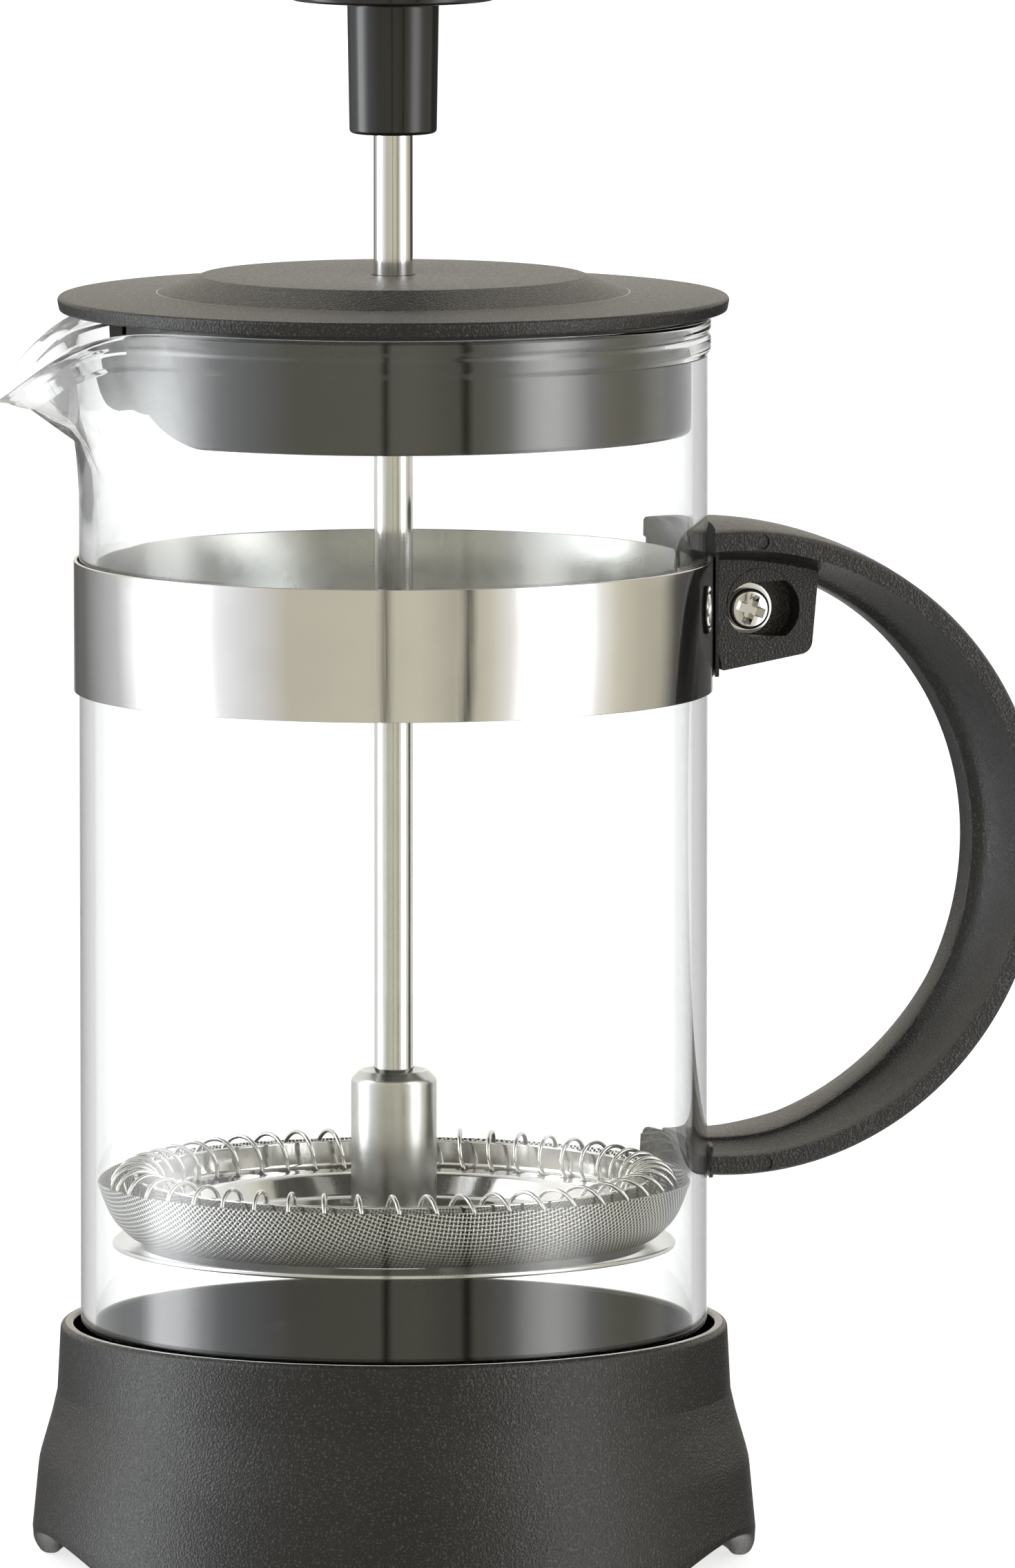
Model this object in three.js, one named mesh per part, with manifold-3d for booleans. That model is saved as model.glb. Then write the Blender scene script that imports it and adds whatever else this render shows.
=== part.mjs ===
// French press, 3-cup size. Millimetres, +Z up, standing on z = 0.
// The handle points to +X and the pouring spout to -X. Every piece is modelled about the
// beaker's axis, and the whole press is then shifted so that its outline is centred on x = 0.
import * as THREE from 'three';
import { mergeVertices } from 'three/addons/utils/BufferGeometryUtils.js';
import Module from 'manifold-3d';

const wasm = await Module();
wasm.setup();

// ---- driving dimensions ------------------------------------------------------------------

const ROUND_STEPS = 48;              // facets round the beaker, band and lid
const BASE_STEPS = 60;               // facets round the base cup, a multiple of its feet
const FILTER_STEPS = 48;             // facets round the filter's plates and mesh
const KNOB_STEPS = 28;
const SMALL_STEPS = 20;              // facets round the rod and the screws
const GAP = 0.3;                     // clearance between pieces that touch on the real object

// Glass beaker
const GLASS_R = 34.9;
const GLASS_WALL = 1.6;
const GLASS_FLOOR_Z = 8.4;
const GLASS_FLOOR = 2.0;
const GLASS_CORNER = 5.0;
const RIM_Z = 139.4;
const BEAD_HEIGHT = 2.8;
const BEAD_BULGE = 0.35;
const SPOUT_PUSH = 11.0;             // how far the tip stands out from the beaker wall
const SPOUT_DROOP = 8.4;             // how far the tip hangs below the rim
const SPOUT_START_Z = 121.6;
const SPOUT_CURVE = 1.75;            // power by which the push grows with height
const SPOUT_HALF_WIDTH = 10.0;       // degrees at which the push has fallen to a half
const SPOUT_END = 46.0;              // degrees at which the push has faded out

// Handle
const HANDLE_CENTRE_X = 36.7;        // from the beaker's axis
const HANDLE_CENTRE_Z = 79.6;
const HANDLE_OUTER_R = 36.6;
const HANDLE_INNER_RX = 30.2;
const HANDLE_INNER_RZ = 31.8;
const HANDLE_HALF_WIDTH = 6.2;
const HANDLE_CROWN = 0.6;
const HANDLE_SIDE_BAND = 2.1;
const HANDLE_INNER_HALF = 2.3;
const HANDLE_END = 92;               // degrees up and down from +X to the arch's ends
const HANDLE_STEPS = 20;

// Steel band
const BAND_R = 35.1;                 // inner radius
const BAND_THICK = 0.4;
const BAND_Z = 97.7;
const BAND_HEIGHT = 14.6;
const EAR_LENGTH = 8.8;
const EAR_GAP = 0.6;                 // between the two ears
const EAR_Z = 100.6;
const EAR_HEIGHT = 9.2;

// Saddles and clamp lug on the handle
const SADDLE_HALF_ANGLE = 17.5;      // degrees
const SADDLE_THICK = 0.8;
const SADDLE_EDGE_THICK = 0.4;
const UPPER_SADDLE = [98.9, 115.2];
const LOWER_SADDLE = [43.2, 46.8];
const LUG_END_X = 47.7;
const LUG_BOTTOM_Z = 99.4;
const LUG_TOP_Z = 112.0;
const LUG_HALF_WIDTH = 5.75;
const LUG_SLOT_HALF = 1.05;
const LUG_RECESS_DEPTH = 3.1;
const LUG_RECESS_X = [36.8, 45.4];
const LUG_RECESS_Z = [102.8, 109.0];
const SCREW_X = 40.1;
const SCREW_Z = 105.9;
const SCREW_R = 1.45;
const SCREW_HOLE_R = 1.85;
const SCREW_HEAD_R = 2.25;
const SCREW_HEAD_HEIGHT = 1.5;
const WASHER_R = 2.8;
const WASHER_THICK = 0.5;
const NUT_ACROSS_FLATS = 5.0;
const NUT_THICK = 2.2;

// Base cup
const BASE_RIM_R = 37.1;
const BASE_RIM_Z = 27.0;
const BASE_KINK_Z = 19.4;
const BASE_FLARE_Z = 12.4;
const BASE_FOOT_R = 40.3;
const BASE_WALL = 1.3;
const BASE_FLOOR = [6.4, 7.9];
const FOOT_COUNT = 5;
const FOOT_HALF_ANGLE = 12;          // degrees
const FOOT_DEPTH = 2.9;
const ARCH_HEIGHT = 4.2;

// Lid
const FLANGE_R = 37.3;
const FLANGE_Z = [140.0, 141.7];
const LID_CONE_R = 26.25;
const LID_TOP_R = 21.3;
const LID_TOP_Z = 143.9;
const LID_PLATE = 1.9;
const SKIRT_R = 33.0;
const SKIRT_WALL = 1.5;
const SKIRT_Z = 126.7;
const SKIRT_CORNER = 1.2;
const BOSS_R = 4.6;
const BOSS_Z = 137.0;
const POUR_NEAR = [10.5, 44];        // degrees from -X to the pouring gap's edge on the -Y side, top and bottom
const POUR_FAR = [33, 51];           // the same on the +Y side: the lid is turned a little from the spout

// Plunger
const ROD_R = 2.17;
const ROD_HOLE_R = 2.37;
const ROD_Z = [47.0, 183.0];
const SLEEVE_TOP_R = 5.1;
const SLEEVE_BOTTOM_R = 4.85;
const SLEEVE_Z = 159.6;
const DISC_Z = 174.4;
const DISC_R = 11.5;
const KNOB_R = 14.0;
const KNOB_TOP_Z = 195.0;
const INSERT_R = 3.4;
const INSERT_Z = [170.0, 182.0];
const HUB_R = 4.78;
const HUB_Z = [38.4, 55.2];
const SPIRAL_Z = 37.5;               // underside of the spiral plate's middle
const SPIRAL_THICK = 0.6;
const SPIRAL_STEP_R = [22.4, 24.2];
const SPIRAL_LEDGE_Z = 40.1;
const SPIRAL_RIM_R = 28.95;
const SPIRAL_RIM_Z = 43.6;
const COIL_TURNS = 48;
const COIL_MAJOR_R = 28.8;
const COIL_R = 2.75;
const COIL_Z = 42.0;
const COIL_WIRE_R = 0.22;
const COIL_STEPS = 7;
const COIL_SIDES = 3;
const MESH_R = 33.0;
const MESH_RIM_Z = 43.3;
const MESH_FLOOR_Z = 36.7;
const MESH_FLOOR_R = 27.9;
// Points of the bowl's rounded wall: radius, height above the floor, and the way from the outer
// face to the inner one, inwards and upwards, as shares of the thickness.
const MESH_BEND = [
  [MESH_FLOOR_R, 0, 0, 1],
  [29.7, 0.5, 0.5, 0.9],
  [31.0, 1.8, 0.85, 0.5],
  [32.1, 4.0, 0.95, 0.3],
];
const MESH_THICK = 0.4;
const CROSS_R = 31.35;
const CROSS_Z = 35.3;
const CROSS_THICK = 0.6;
const CROSS_RIM_RISE = 0.5;
const CROSS_HOLES = 8;
const STUD_R = 1.9;
const STUD_HEAD_R = 4.2;
const STUD_Z = [33.2, 46.6];

// ---- helpers -----------------------------------------------------------------------------

const rad = THREE.MathUtils.degToRad;
const v2 = (x, y) => new THREE.Vector2(x, y);

/** Points of an arc in a profile, from one angle to another in degrees. */
function arcPoints(cx, cy, rx, ry, from, to, steps) {
  const points = [];
  for (let i = 0; i <= steps; i++) {
    const a = rad(from + (to - from) * i / steps);
    points.push(v2(cx + rx * Math.cos(a), cy + ry * Math.sin(a)));
  }
  return points;
}

/** Leaves only merged positions and an index. */
function bare(geometry) {
  const copy = geometry.clone();
  copy.deleteAttribute('normal');
  copy.deleteAttribute('uv');
  return mergeVertices(copy, 1e-4);
}

/** Revolves a closed profile of (radius, height) points about Z. */
function revolve(profile, steps = ROUND_STEPS) {
  const lathe = new THREE.LatheGeometry([...profile, profile[0]], steps);
  lathe.rotateX(Math.PI / 2);
  return outward(bare(lathe));
}

/** Signed volume of a closed geometry. */
function volume(geometry) {
  const p = geometry.attributes.position;
  const index = geometry.index;
  const a = new THREE.Vector3();
  const b = new THREE.Vector3();
  const c = new THREE.Vector3();
  let sum = 0;
  for (let i = 0; i < index.count; i += 3) {
    a.fromBufferAttribute(p, index.getX(i));
    b.fromBufferAttribute(p, index.getX(i + 1));
    c.fromBufferAttribute(p, index.getX(i + 2));
    sum += a.dot(b.cross(c)) / 6;
  }
  return sum;
}

/** Drops triangles of no area and turns the faces outward. */
function outward(geometry) {
  const old = geometry.index.array;
  const flip = volume(geometry) < 0;
  const kept = [];
  for (let i = 0; i < old.length; i += 3) {
    const [a, b, c] = [old[i], old[i + 1], old[i + 2]];
    if (a !== b && b !== c && c !== a) {
      kept.push(...(flip ? [a, c, b] : [a, b, c]));
    }
  }
  geometry.setIndex(kept);
  return geometry;
}

function toSolid(geometry) {
  const clean = bare(geometry);
  return new wasm.Manifold(new wasm.Mesh({
    numProp: 3,
    vertProperties: new Float32Array(clean.attributes.position.array),
    triVerts: new Uint32Array(clean.index.array),
  }));
}

function fromSolid(solid) {
  const mesh = solid.getMesh();
  const geometry = new THREE.BufferGeometry();
  geometry.setAttribute('position', new THREE.BufferAttribute(mesh.vertProperties, 3));
  geometry.setIndex(new THREE.BufferAttribute(mesh.triVerts, 1));
  return geometry;
}

/** First geometry with the others joined to it. */
function join(first, ...others) {
  return fromSolid(others.reduce((solid, other) => solid.add(toSolid(other)), toSolid(first)));
}

/** First geometry with the others cut out of it. */
function cut(first, ...others) {
  return fromSolid(others.reduce((solid, other) => solid.subtract(toSolid(other)), toSolid(first)));
}

/** Cylinder along Y, centred at a point. */
function cylinderY(radius, length, x, y, z, steps = SMALL_STEPS) {
  return new THREE.CylinderGeometry(radius, radius, length, steps).translate(x, y, z);
}

function box(x0, x1, y0, y1, z0, z1) {
  const geometry = new THREE.BoxGeometry(x1 - x0, y1 - y0, z1 - z0);
  return geometry.translate((x0 + x1) / 2, (y0 + y1) / 2, (z0 + z1) / 2);
}

/** Extrudes an outline in X and Y upward from z0. */
function extrudeUp(shape, z0, height) {
  const geometry = new THREE.ExtrudeGeometry(shape, { depth: height, bevelEnabled: false });
  return geometry.translate(0, 0, z0);
}

/** Closed tube of equal rings: rings[i][j] are points; the last ring joins the first. */
function closedTube(rings) {
  const sides = rings[0].length;
  const positions = rings.flat().flatMap((p) => [p.x, p.y, p.z]);
  const index = [];
  rings.forEach((ring, i) => {
    const here = i * sides;
    const next = ((i + 1) % rings.length) * sides;
    for (let j = 0; j < sides; j++) {
      const k = (j + 1) % sides;
      index.push(here + j, next + j, next + k, here + j, next + k, here + k);
    }
  });
  const geometry = new THREE.BufferGeometry();
  geometry.setAttribute('position', new THREE.Float32BufferAttribute(positions, 3));
  geometry.setIndex(index);
  return outward(geometry);
}

/** Solid between equal rings, with its first and last rings filled as fans from their centres. */
function loft(rings) {
  const sides = rings[0].length;
  const centre = (ring) => ring.reduce((sum, p) => sum.add(p), new THREE.Vector3()).divideScalar(sides);
  const points = [...rings.flat(), centre(rings[0]), centre(rings.at(-1))];
  const startCentre = points.length - 2;
  const endCentre = points.length - 1;
  const index = [];
  for (let j = 0; j < sides; j++) {
    const k = (j + 1) % sides;
    for (let i = 0; i + 1 < rings.length; i++) {
      const here = i * sides;
      const next = here + sides;
      index.push(here + j, next + j, next + k, here + j, next + k, here + k);
    }
    const last = (rings.length - 1) * sides;
    index.push(startCentre, j, k, endCentre, last + k, last + j);
  }
  const geometry = new THREE.BufferGeometry();
  geometry.setAttribute('position', new THREE.Float32BufferAttribute(points.flatMap((p) => [p.x, p.y, p.z]), 3));
  geometry.setIndex(index);
  return outward(geometry);
}

/** Moves each point of a geometry with a function that changes a Vector3 in place. */
function deform(geometry, move) {
  const position = geometry.attributes.position;
  const p = new THREE.Vector3();
  for (let i = 0; i < position.count; i++) {
    p.fromBufferAttribute(position, i);
    move(p);
    position.setXYZ(i, p.x, p.y, p.z);
  }
  return geometry;
}

// ---- carafe ------------------------------------------------------------------------------

/** Pushes the rim out and down into the spout on the -X side. */
function pullSpout(p) {
  const radius = Math.hypot(p.x, p.y);
  if (p.z < SPOUT_START_Z || radius < GLASS_R - GLASS_WALL - 1) {
    return;
  }
  const angle = THREE.MathUtils.radToDeg(Math.atan2(p.y, -p.x));
  const away = Math.min(Math.abs(angle) / SPOUT_END, 1);
  const fade = Math.cos(away * Math.PI / 2) ** 2;
  const across = fade / (1 + (angle / SPOUT_HALF_WIDTH) ** 2);
  const up = ((p.z - SPOUT_START_Z) / (RIM_Z - SPOUT_START_Z)) ** SPOUT_CURVE;
  const grow = (radius + SPOUT_PUSH * across * up) / radius;
  p.x *= grow;
  p.y *= grow;
  p.z -= SPOUT_DROOP * across ** 1.5 * up;
}

function glassBeaker() {
  const inner = GLASS_R - GLASS_WALL;
  const innerFloor = GLASS_FLOOR_Z + GLASS_FLOOR;
  const innerCorner = GLASS_CORNER - 1;
  const beadMid = RIM_Z - BEAD_HEIGHT / 2;
  const spoutHeights = [SPOUT_START_Z, 125.5, 129.5, 133];
  const profile = [
    v2(0, GLASS_FLOOR_Z),
    ...arcPoints(GLASS_R - GLASS_CORNER, GLASS_FLOOR_Z + GLASS_CORNER, GLASS_CORNER, GLASS_CORNER, -90, 0, 3),
    ...spoutHeights.map((z) => v2(GLASS_R, z)),
    v2(GLASS_R, RIM_Z - BEAD_HEIGHT),
    v2(GLASS_R + BEAD_BULGE, beadMid),
    v2(GLASS_R, RIM_Z - 0.4),
    v2(GLASS_R - GLASS_WALL / 2, RIM_Z),
    v2(inner, RIM_Z - 0.4),
    ...spoutHeights.toReversed().map((z) => v2(inner, z)),
    ...arcPoints(inner - innerCorner, innerFloor + innerCorner, innerCorner, innerCorner, 0, -90, 3),
    v2(0, innerFloor),
  ];
  return deform(revolve(profile), pullSpout);
}

/** Band as one strip: round the beaker, with both ends bent out as parallel ears. */
function steelBand() {
  const outer = BAND_R + BAND_THICK;
  const steps = ROUND_STEPS;
  const outline = new THREE.Shape();
  const earEnd = outer + EAR_LENGTH;
  const innerStart = EAR_GAP / 2;
  const outerStart = innerStart + BAND_THICK;
  const point = (radius, i) => v2(radius * Math.cos(2 * Math.PI * i / steps), radius * Math.sin(2 * Math.PI * i / steps));
  const points = [v2(earEnd, innerStart), v2(earEnd, outerStart), v2(outer, outerStart)];
  for (let i = 1; i < steps; i++) {
    points.push(point(outer, i));
  }
  points.push(v2(outer, -outerStart), v2(earEnd, -outerStart), v2(earEnd, -innerStart), v2(BAND_R, -innerStart));
  for (let i = steps - 1; i > 0; i--) {
    points.push(point(BAND_R, i));
  }
  points.push(v2(BAND_R, innerStart));
  outline.setFromPoints(points);
  const strip = extrudeUp(outline, BAND_Z, BAND_HEIGHT);
  const top = BAND_Z + BAND_HEIGHT;
  const trim = (z0, z1) => box(outer + 0.1, earEnd + 1, -2, 2, z0, z1);
  const hole = cylinderY(SCREW_HOLE_R, 6, SCREW_X, 0, SCREW_Z);
  return cut(strip, trim(BAND_Z - 1, EAR_Z), trim(EAR_Z + EAR_HEIGHT, top + 1), hole);
}

/** Ring of the handle's section at an angle in degrees: crowned outside, hollowed flanks, flat inside. */
function handleRing(angle) {
  const a = rad(angle);
  const innerR = HANDLE_INNER_RX * HANDLE_INNER_RZ
    / Math.hypot(HANDLE_INNER_RZ * Math.cos(a), HANDLE_INNER_RX * Math.sin(a));
  const depth = HANDLE_OUTER_R - innerR;
  const cove = depth - HANDLE_SIDE_BAND;
  const flank = (t) => [
    HANDLE_OUTER_R - HANDLE_CROWN - HANDLE_SIDE_BAND - (cove - HANDLE_CROWN) * t,
    HANDLE_HALF_WIDTH - (HANDLE_HALF_WIDTH - HANDLE_INNER_HALF) * Math.sin(t * Math.PI / 2) ** 0.8,
  ];
  const half = [
    [HANDLE_OUTER_R, 0],
    [HANDLE_OUTER_R - HANDLE_CROWN * 0.3, HANDLE_HALF_WIDTH * 0.55],
    [HANDLE_OUTER_R - HANDLE_CROWN, HANDLE_HALF_WIDTH - 0.3],
    [HANDLE_OUTER_R - HANDLE_CROWN - 0.3, HANDLE_HALF_WIDTH],
    flank(0),
    flank(0.3),
    flank(0.65),
    [innerR, HANDLE_INNER_HALF],
  ];
  const other = half.slice(1).toReversed().map(([r, y]) => [r, -y]);
  return [...half, ...other].map(([r, y]) => new THREE.Vector3(
    HANDLE_CENTRE_X + r * Math.cos(a),
    y,
    HANDLE_CENTRE_Z + r * Math.sin(a),
  ));
}

/** Curved pad that lies against the beaker or the band. */
function saddle(innerR, [z0, z1]) {
  const count = 3;
  const step = SADDLE_HALF_ANGLE / count;
  const outline = new THREE.Shape();
  const points = [];
  for (let i = -count; i <= count; i++) {
    const share = Math.abs(i) / count;
    const radius = innerR + SADDLE_THICK - (SADDLE_THICK - SADDLE_EDGE_THICK) * share ** 2;
    points.push(v2(radius * Math.cos(rad(i * step)), radius * Math.sin(rad(i * step))));
  }
  for (let i = count; i >= -count; i--) {
    points.push(v2(innerR * Math.cos(rad(i * step)), innerR * Math.sin(rad(i * step))));
  }
  outline.setFromPoints(points);
  return extrudeUp(outline, z0, z1 - z0);
}

function handle() {
  const upperR = BAND_R + BAND_THICK + GAP;
  const lowerR = GLASS_R + GAP;
  const rings = [];
  for (let i = 0; i <= HANDLE_STEPS; i++) {
    rings.push(handleRing(HANDLE_END - 2 * HANDLE_END * i / HANDLE_STEPS));
  }
  const arch = loft(rings);
  const lug = box(upperR - 0.8, LUG_END_X, -LUG_HALF_WIDTH, LUG_HALF_WIDTH, LUG_BOTTOM_Z, LUG_TOP_Z);
  const slot = box(upperR - 1, upperR + EAR_LENGTH + 0.6, -LUG_SLOT_HALF, LUG_SLOT_HALF,
    EAR_Z - GAP, EAR_Z + EAR_HEIGHT + GAP);
  const recess = (y0, y1) => box(LUG_RECESS_X[0], LUG_RECESS_X[1], y0, y1, LUG_RECESS_Z[0], LUG_RECESS_Z[1]);
  const near = recess(-LUG_HALF_WIDTH - 1, -LUG_HALF_WIDTH + LUG_RECESS_DEPTH);
  const far = recess(LUG_HALF_WIDTH - LUG_RECESS_DEPTH, LUG_HALF_WIDTH + 1);
  const hole = cylinderY(SCREW_HOLE_R, 20, SCREW_X, 0, SCREW_Z);
  const clearance = revolve([v2(0, 90), v2(upperR, 90), v2(upperR, 125), v2(0, 125)]);
  const lowClearance = revolve([v2(0, 30), v2(lowerR, 30), v2(lowerR, 70), v2(0, 70)]);
  const body = join(arch, saddle(upperR, UPPER_SADDLE), saddle(lowerR, LOWER_SADDLE), lug);
  return cut(body, slot, near, far, hole, clearance, lowClearance);
}

/** Screw along Y: pan head towards -Y with a cross recess. */
function clampScrew() {
  const seat = -LUG_HALF_WIDTH + LUG_RECESS_DEPTH - WASHER_THICK - 2 * GAP / 3;
  const tip = LUG_HALF_WIDTH - LUG_RECESS_DEPTH + NUT_THICK + 0.6;
  const profile = [
    v2(0, -SCREW_HEAD_HEIGHT),
    v2(SCREW_HEAD_R * 0.65, -SCREW_HEAD_HEIGHT + 0.1),
    v2(SCREW_HEAD_R, -SCREW_HEAD_HEIGHT * 0.55),
    v2(SCREW_HEAD_R, 0),
    v2(SCREW_R, 0),
    v2(SCREW_R, tip - seat - 0.4),
    v2(SCREW_R - 0.4, tip - seat),
    v2(0, tip - seat),
  ];
  const body = revolve(profile, SMALL_STEPS);
  const arm = 1.3;
  const deep = 0.9;
  const across = box(-arm, arm, -0.3, 0.3, -SCREW_HEAD_HEIGHT - 1, -SCREW_HEAD_HEIGHT + deep);
  const along = box(-0.3, 0.3, -arm, arm, -SCREW_HEAD_HEIGHT - 1, -SCREW_HEAD_HEIGHT + deep);
  return cut(body, across, along).rotateX(-Math.PI / 2).translate(SCREW_X, seat, SCREW_Z);
}

/** Flat ring or hexagon round the clamp screw, from y0 for its thickness. */
function ringOnScrew(outerR, sides, y0, thick) {
  const outline = new THREE.Shape();
  outline.setFromPoints(arcPoints(0, 0, outerR, outerR, 0, 360, sides).slice(0, sides));
  const hole = new THREE.Path();
  const holeR = SCREW_R + 0.25;
  hole.setFromPoints(arcPoints(0, 0, holeR, holeR, 0, 360, SMALL_STEPS).slice(0, SMALL_STEPS));
  outline.holes.push(hole);
  return extrudeUp(outline, 0, thick).rotateX(-Math.PI / 2).translate(SCREW_X, y0, SCREW_Z);
}

function clampWasher() {
  const y0 = -LUG_HALF_WIDTH + LUG_RECESS_DEPTH - WASHER_THICK - GAP / 3;
  return ringOnScrew(WASHER_R, SMALL_STEPS, y0, WASHER_THICK);
}

function clampNut() {
  const y0 = LUG_HALF_WIDTH - LUG_RECESS_DEPTH + GAP / 2;
  return ringOnScrew(NUT_ACROSS_FLATS / Math.sqrt(3), 6, y0, NUT_THICK);
}

/** Lifts the skirt's lower edge into an arch between each two feet. */
function liftArches(p) {
  if (p.z > ARCH_HEIGHT) {
    return;
  }
  const spacing = 360 / FOOT_COUNT;
  const angle = THREE.MathUtils.radToDeg(Math.atan2(p.y, p.x));
  const fromFoot = Math.abs(angle - spacing * Math.round(angle / spacing));
  const archHalf = spacing / 2 - FOOT_HALF_ANGLE;
  if (fromFoot > FOOT_HALF_ANGLE) {
    const share = (spacing / 2 - fromFoot) / archHalf;
    p.z += ARCH_HEIGHT * Math.cos(share * Math.PI / 2) * (1 - p.z / (2 * ARCH_HEIGHT));
  }
}

function baseCup() {
  const wall = [
    v2(BASE_FOOT_R - 0.75, BASE_FLARE_Z),
    v2(BASE_FOOT_R - 2.3, BASE_FLARE_Z + 4.4),
    v2(BASE_FOOT_R - 2.75, BASE_KINK_Z),
  ];
  const inner = wall.map((p) => v2(p.x - BASE_WALL, p.y)).toReversed();
  const ribR = GLASS_R + GAP;
  const ribTop = BASE_FLOOR[1] + 2;
  const profile = [
    v2(0, BASE_FLOOR[0]),
    v2(BASE_FOOT_R - FOOT_DEPTH, BASE_FLOOR[0]),
    v2(BASE_FOOT_R - FOOT_DEPTH, 0),
    v2(BASE_FOOT_R - 0.9, 0),
    v2(BASE_FOOT_R, 1.6),
    ...wall,
    v2(BASE_RIM_R, BASE_RIM_Z),
    v2(BASE_RIM_R - BASE_WALL, BASE_RIM_Z),
    ...inner,
    v2(BASE_FOOT_R - BASE_WALL - 0.6, BASE_FLOOR[1]),
    v2(ribR + 1.2, BASE_FLOOR[1]),
    v2(ribR + 1.1, ribTop),
    v2(ribR, ribTop),
    v2(ribR, BASE_FLOOR[1]),
    v2(0, BASE_FLOOR[1]),
  ];
  return deform(revolve(profile, BASE_STEPS), liftArches);
}

// ---- lid ---------------------------------------------------------------------------------

/** Wedge of space that opens the skirt towards the spout, wider at its lower edge. */
function pourGap() {
  const rings = [];
  const steps = 14;
  const top = FLANGE_Z[0] - GAP;
  const bottom = SKIRT_Z - 0.6;
  for (let i = 0; i <= steps; i++) {
    const share = Math.sin(i / steps * Math.PI / 2);
    const z = top + (bottom - top) * share;
    const spread = 1 - Math.sqrt(1 - share ** 2);
    const near = 180 + POUR_NEAR[0] + (POUR_NEAR[1] - POUR_NEAR[0]) * spread;
    const far = 180 - POUR_FAR[0] - (POUR_FAR[1] - POUR_FAR[0]) * spread;
    const ring = [new THREE.Vector3(0, 0, z)];
    for (let j = 0; j <= 12; j++) {
      const a = rad(far + (near - far) * j / 12);
      ring.push(new THREE.Vector3(60 * Math.cos(a), 60 * Math.sin(a), z));
    }
    rings.push(ring);
  }
  const keepMiddle = revolve([v2(0, 100), v2(BOSS_R + 3, 100), v2(BOSS_R + 3, 160), v2(0, 160)]);
  return cut(loft(rings), keepMiddle);
}

function lid() {
  const ceiling = LID_TOP_Z - LID_PLATE;
  const profile = [
    v2(ROD_HOLE_R, BOSS_Z),
    v2(BOSS_R, BOSS_Z),
    v2(BOSS_R, ceiling),
    v2(LID_TOP_R - 1, ceiling),
    v2(LID_CONE_R - 0.6, FLANGE_Z[0] + 0.2),
    v2(SKIRT_R - SKIRT_WALL, FLANGE_Z[0]),
    v2(SKIRT_R - SKIRT_WALL, SKIRT_Z),
    ...arcPoints(SKIRT_R - SKIRT_CORNER, SKIRT_Z + SKIRT_CORNER, SKIRT_CORNER, SKIRT_CORNER, -90, 0, 2),
    v2(SKIRT_R, FLANGE_Z[0]),
    v2(FLANGE_R - 0.5, FLANGE_Z[0]),
    v2(FLANGE_R, FLANGE_Z[0] + 0.6),
    v2(FLANGE_R - 0.1, FLANGE_Z[1] - 0.5),
    v2(FLANGE_R - 0.6, FLANGE_Z[1] - 0.05),
    v2(LID_CONE_R, FLANGE_Z[1] + 0.35),
    v2(LID_TOP_R, LID_TOP_Z - 0.05),
    v2(LID_TOP_R - 0.5, LID_TOP_Z),
    v2(ROD_HOLE_R, LID_TOP_Z),
  ];
  return cut(revolve(profile), pourGap());
}

// ---- plunger -----------------------------------------------------------------------------

function knobBody() {
  const bore = INSERT_R + 0.15;
  const profile = [
    v2(ROD_R + 0.15, SLEEVE_Z),
    v2(SLEEVE_BOTTOM_R - 0.5, SLEEVE_Z),
    v2(SLEEVE_BOTTOM_R, SLEEVE_Z + 0.5),
    v2(SLEEVE_TOP_R, DISC_Z),
    v2(DISC_R - 0.4, DISC_Z),
    v2(DISC_R, DISC_Z + 0.4),
    v2(DISC_R, DISC_Z + 1.6),
    v2(DISC_R - 1.6, DISC_Z + 1.6),
    v2(DISC_R - 1.6, DISC_Z + 4),
    v2(DISC_R - 3.0, DISC_Z + 4),
    v2(DISC_R - 3.0, DISC_Z + 1.6),
    v2(SLEEVE_TOP_R + 0.2, DISC_Z + 1.6),
    v2(SLEEVE_TOP_R + 0.2, INSERT_Z[1]),
    v2(bore, INSERT_Z[1]),
    v2(bore, INSERT_Z[0] - GAP),
    v2(ROD_R + 0.15, INSERT_Z[0] - GAP),
  ];
  return revolve(profile, KNOB_STEPS);
}

function knobCap() {
  const low = DISC_Z + 1.6 + GAP;
  const wide = DISC_Z + 9;
  const wall = 1.6;
  const inside = DISC_R - 1.6 + GAP;
  const outer = [
    v2(DISC_R - 0.2, low),
    ...arcPoints(0, wide, KNOB_R, wide - low + 3, -28, 0, 2),
    ...arcPoints(0, wide, KNOB_R, KNOB_TOP_Z - wide, 18, 90, 4),
  ];
  const hollow = arcPoints(0, wide - 1, KNOB_R - wall - 0.4, KNOB_TOP_Z - wide - wall + 1, 90, 20, 4);
  return revolve([...outer, ...hollow, v2(inside, wide - 2), v2(inside, low)], KNOB_STEPS);
}

function knobInsert() {
  const [z0, z1] = INSERT_Z;
  const thread = ROD_R + 0.15;
  const groove = (z) => [v2(INSERT_R, z), v2(INSERT_R - 0.5, z + 0.4), v2(INSERT_R - 0.5, z + 1), v2(INSERT_R, z + 1.4)];
  const profile = [v2(thread, z0), v2(INSERT_R, z0), ...groove(z0 + 3), ...groove(z0 + 7), v2(INSERT_R, z1), v2(thread, z1)];
  return revolve(profile, SMALL_STEPS);
}

function plungerRod() {
  const [z0, z1] = ROD_Z;
  const profile = [v2(0, z0), v2(ROD_R - 0.3, z0), v2(ROD_R, z0 + 0.4), v2(ROD_R, z1 - 0.4), v2(ROD_R - 0.4, z1), v2(0, z1)];
  return revolve(profile, SMALL_STEPS);
}

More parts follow.
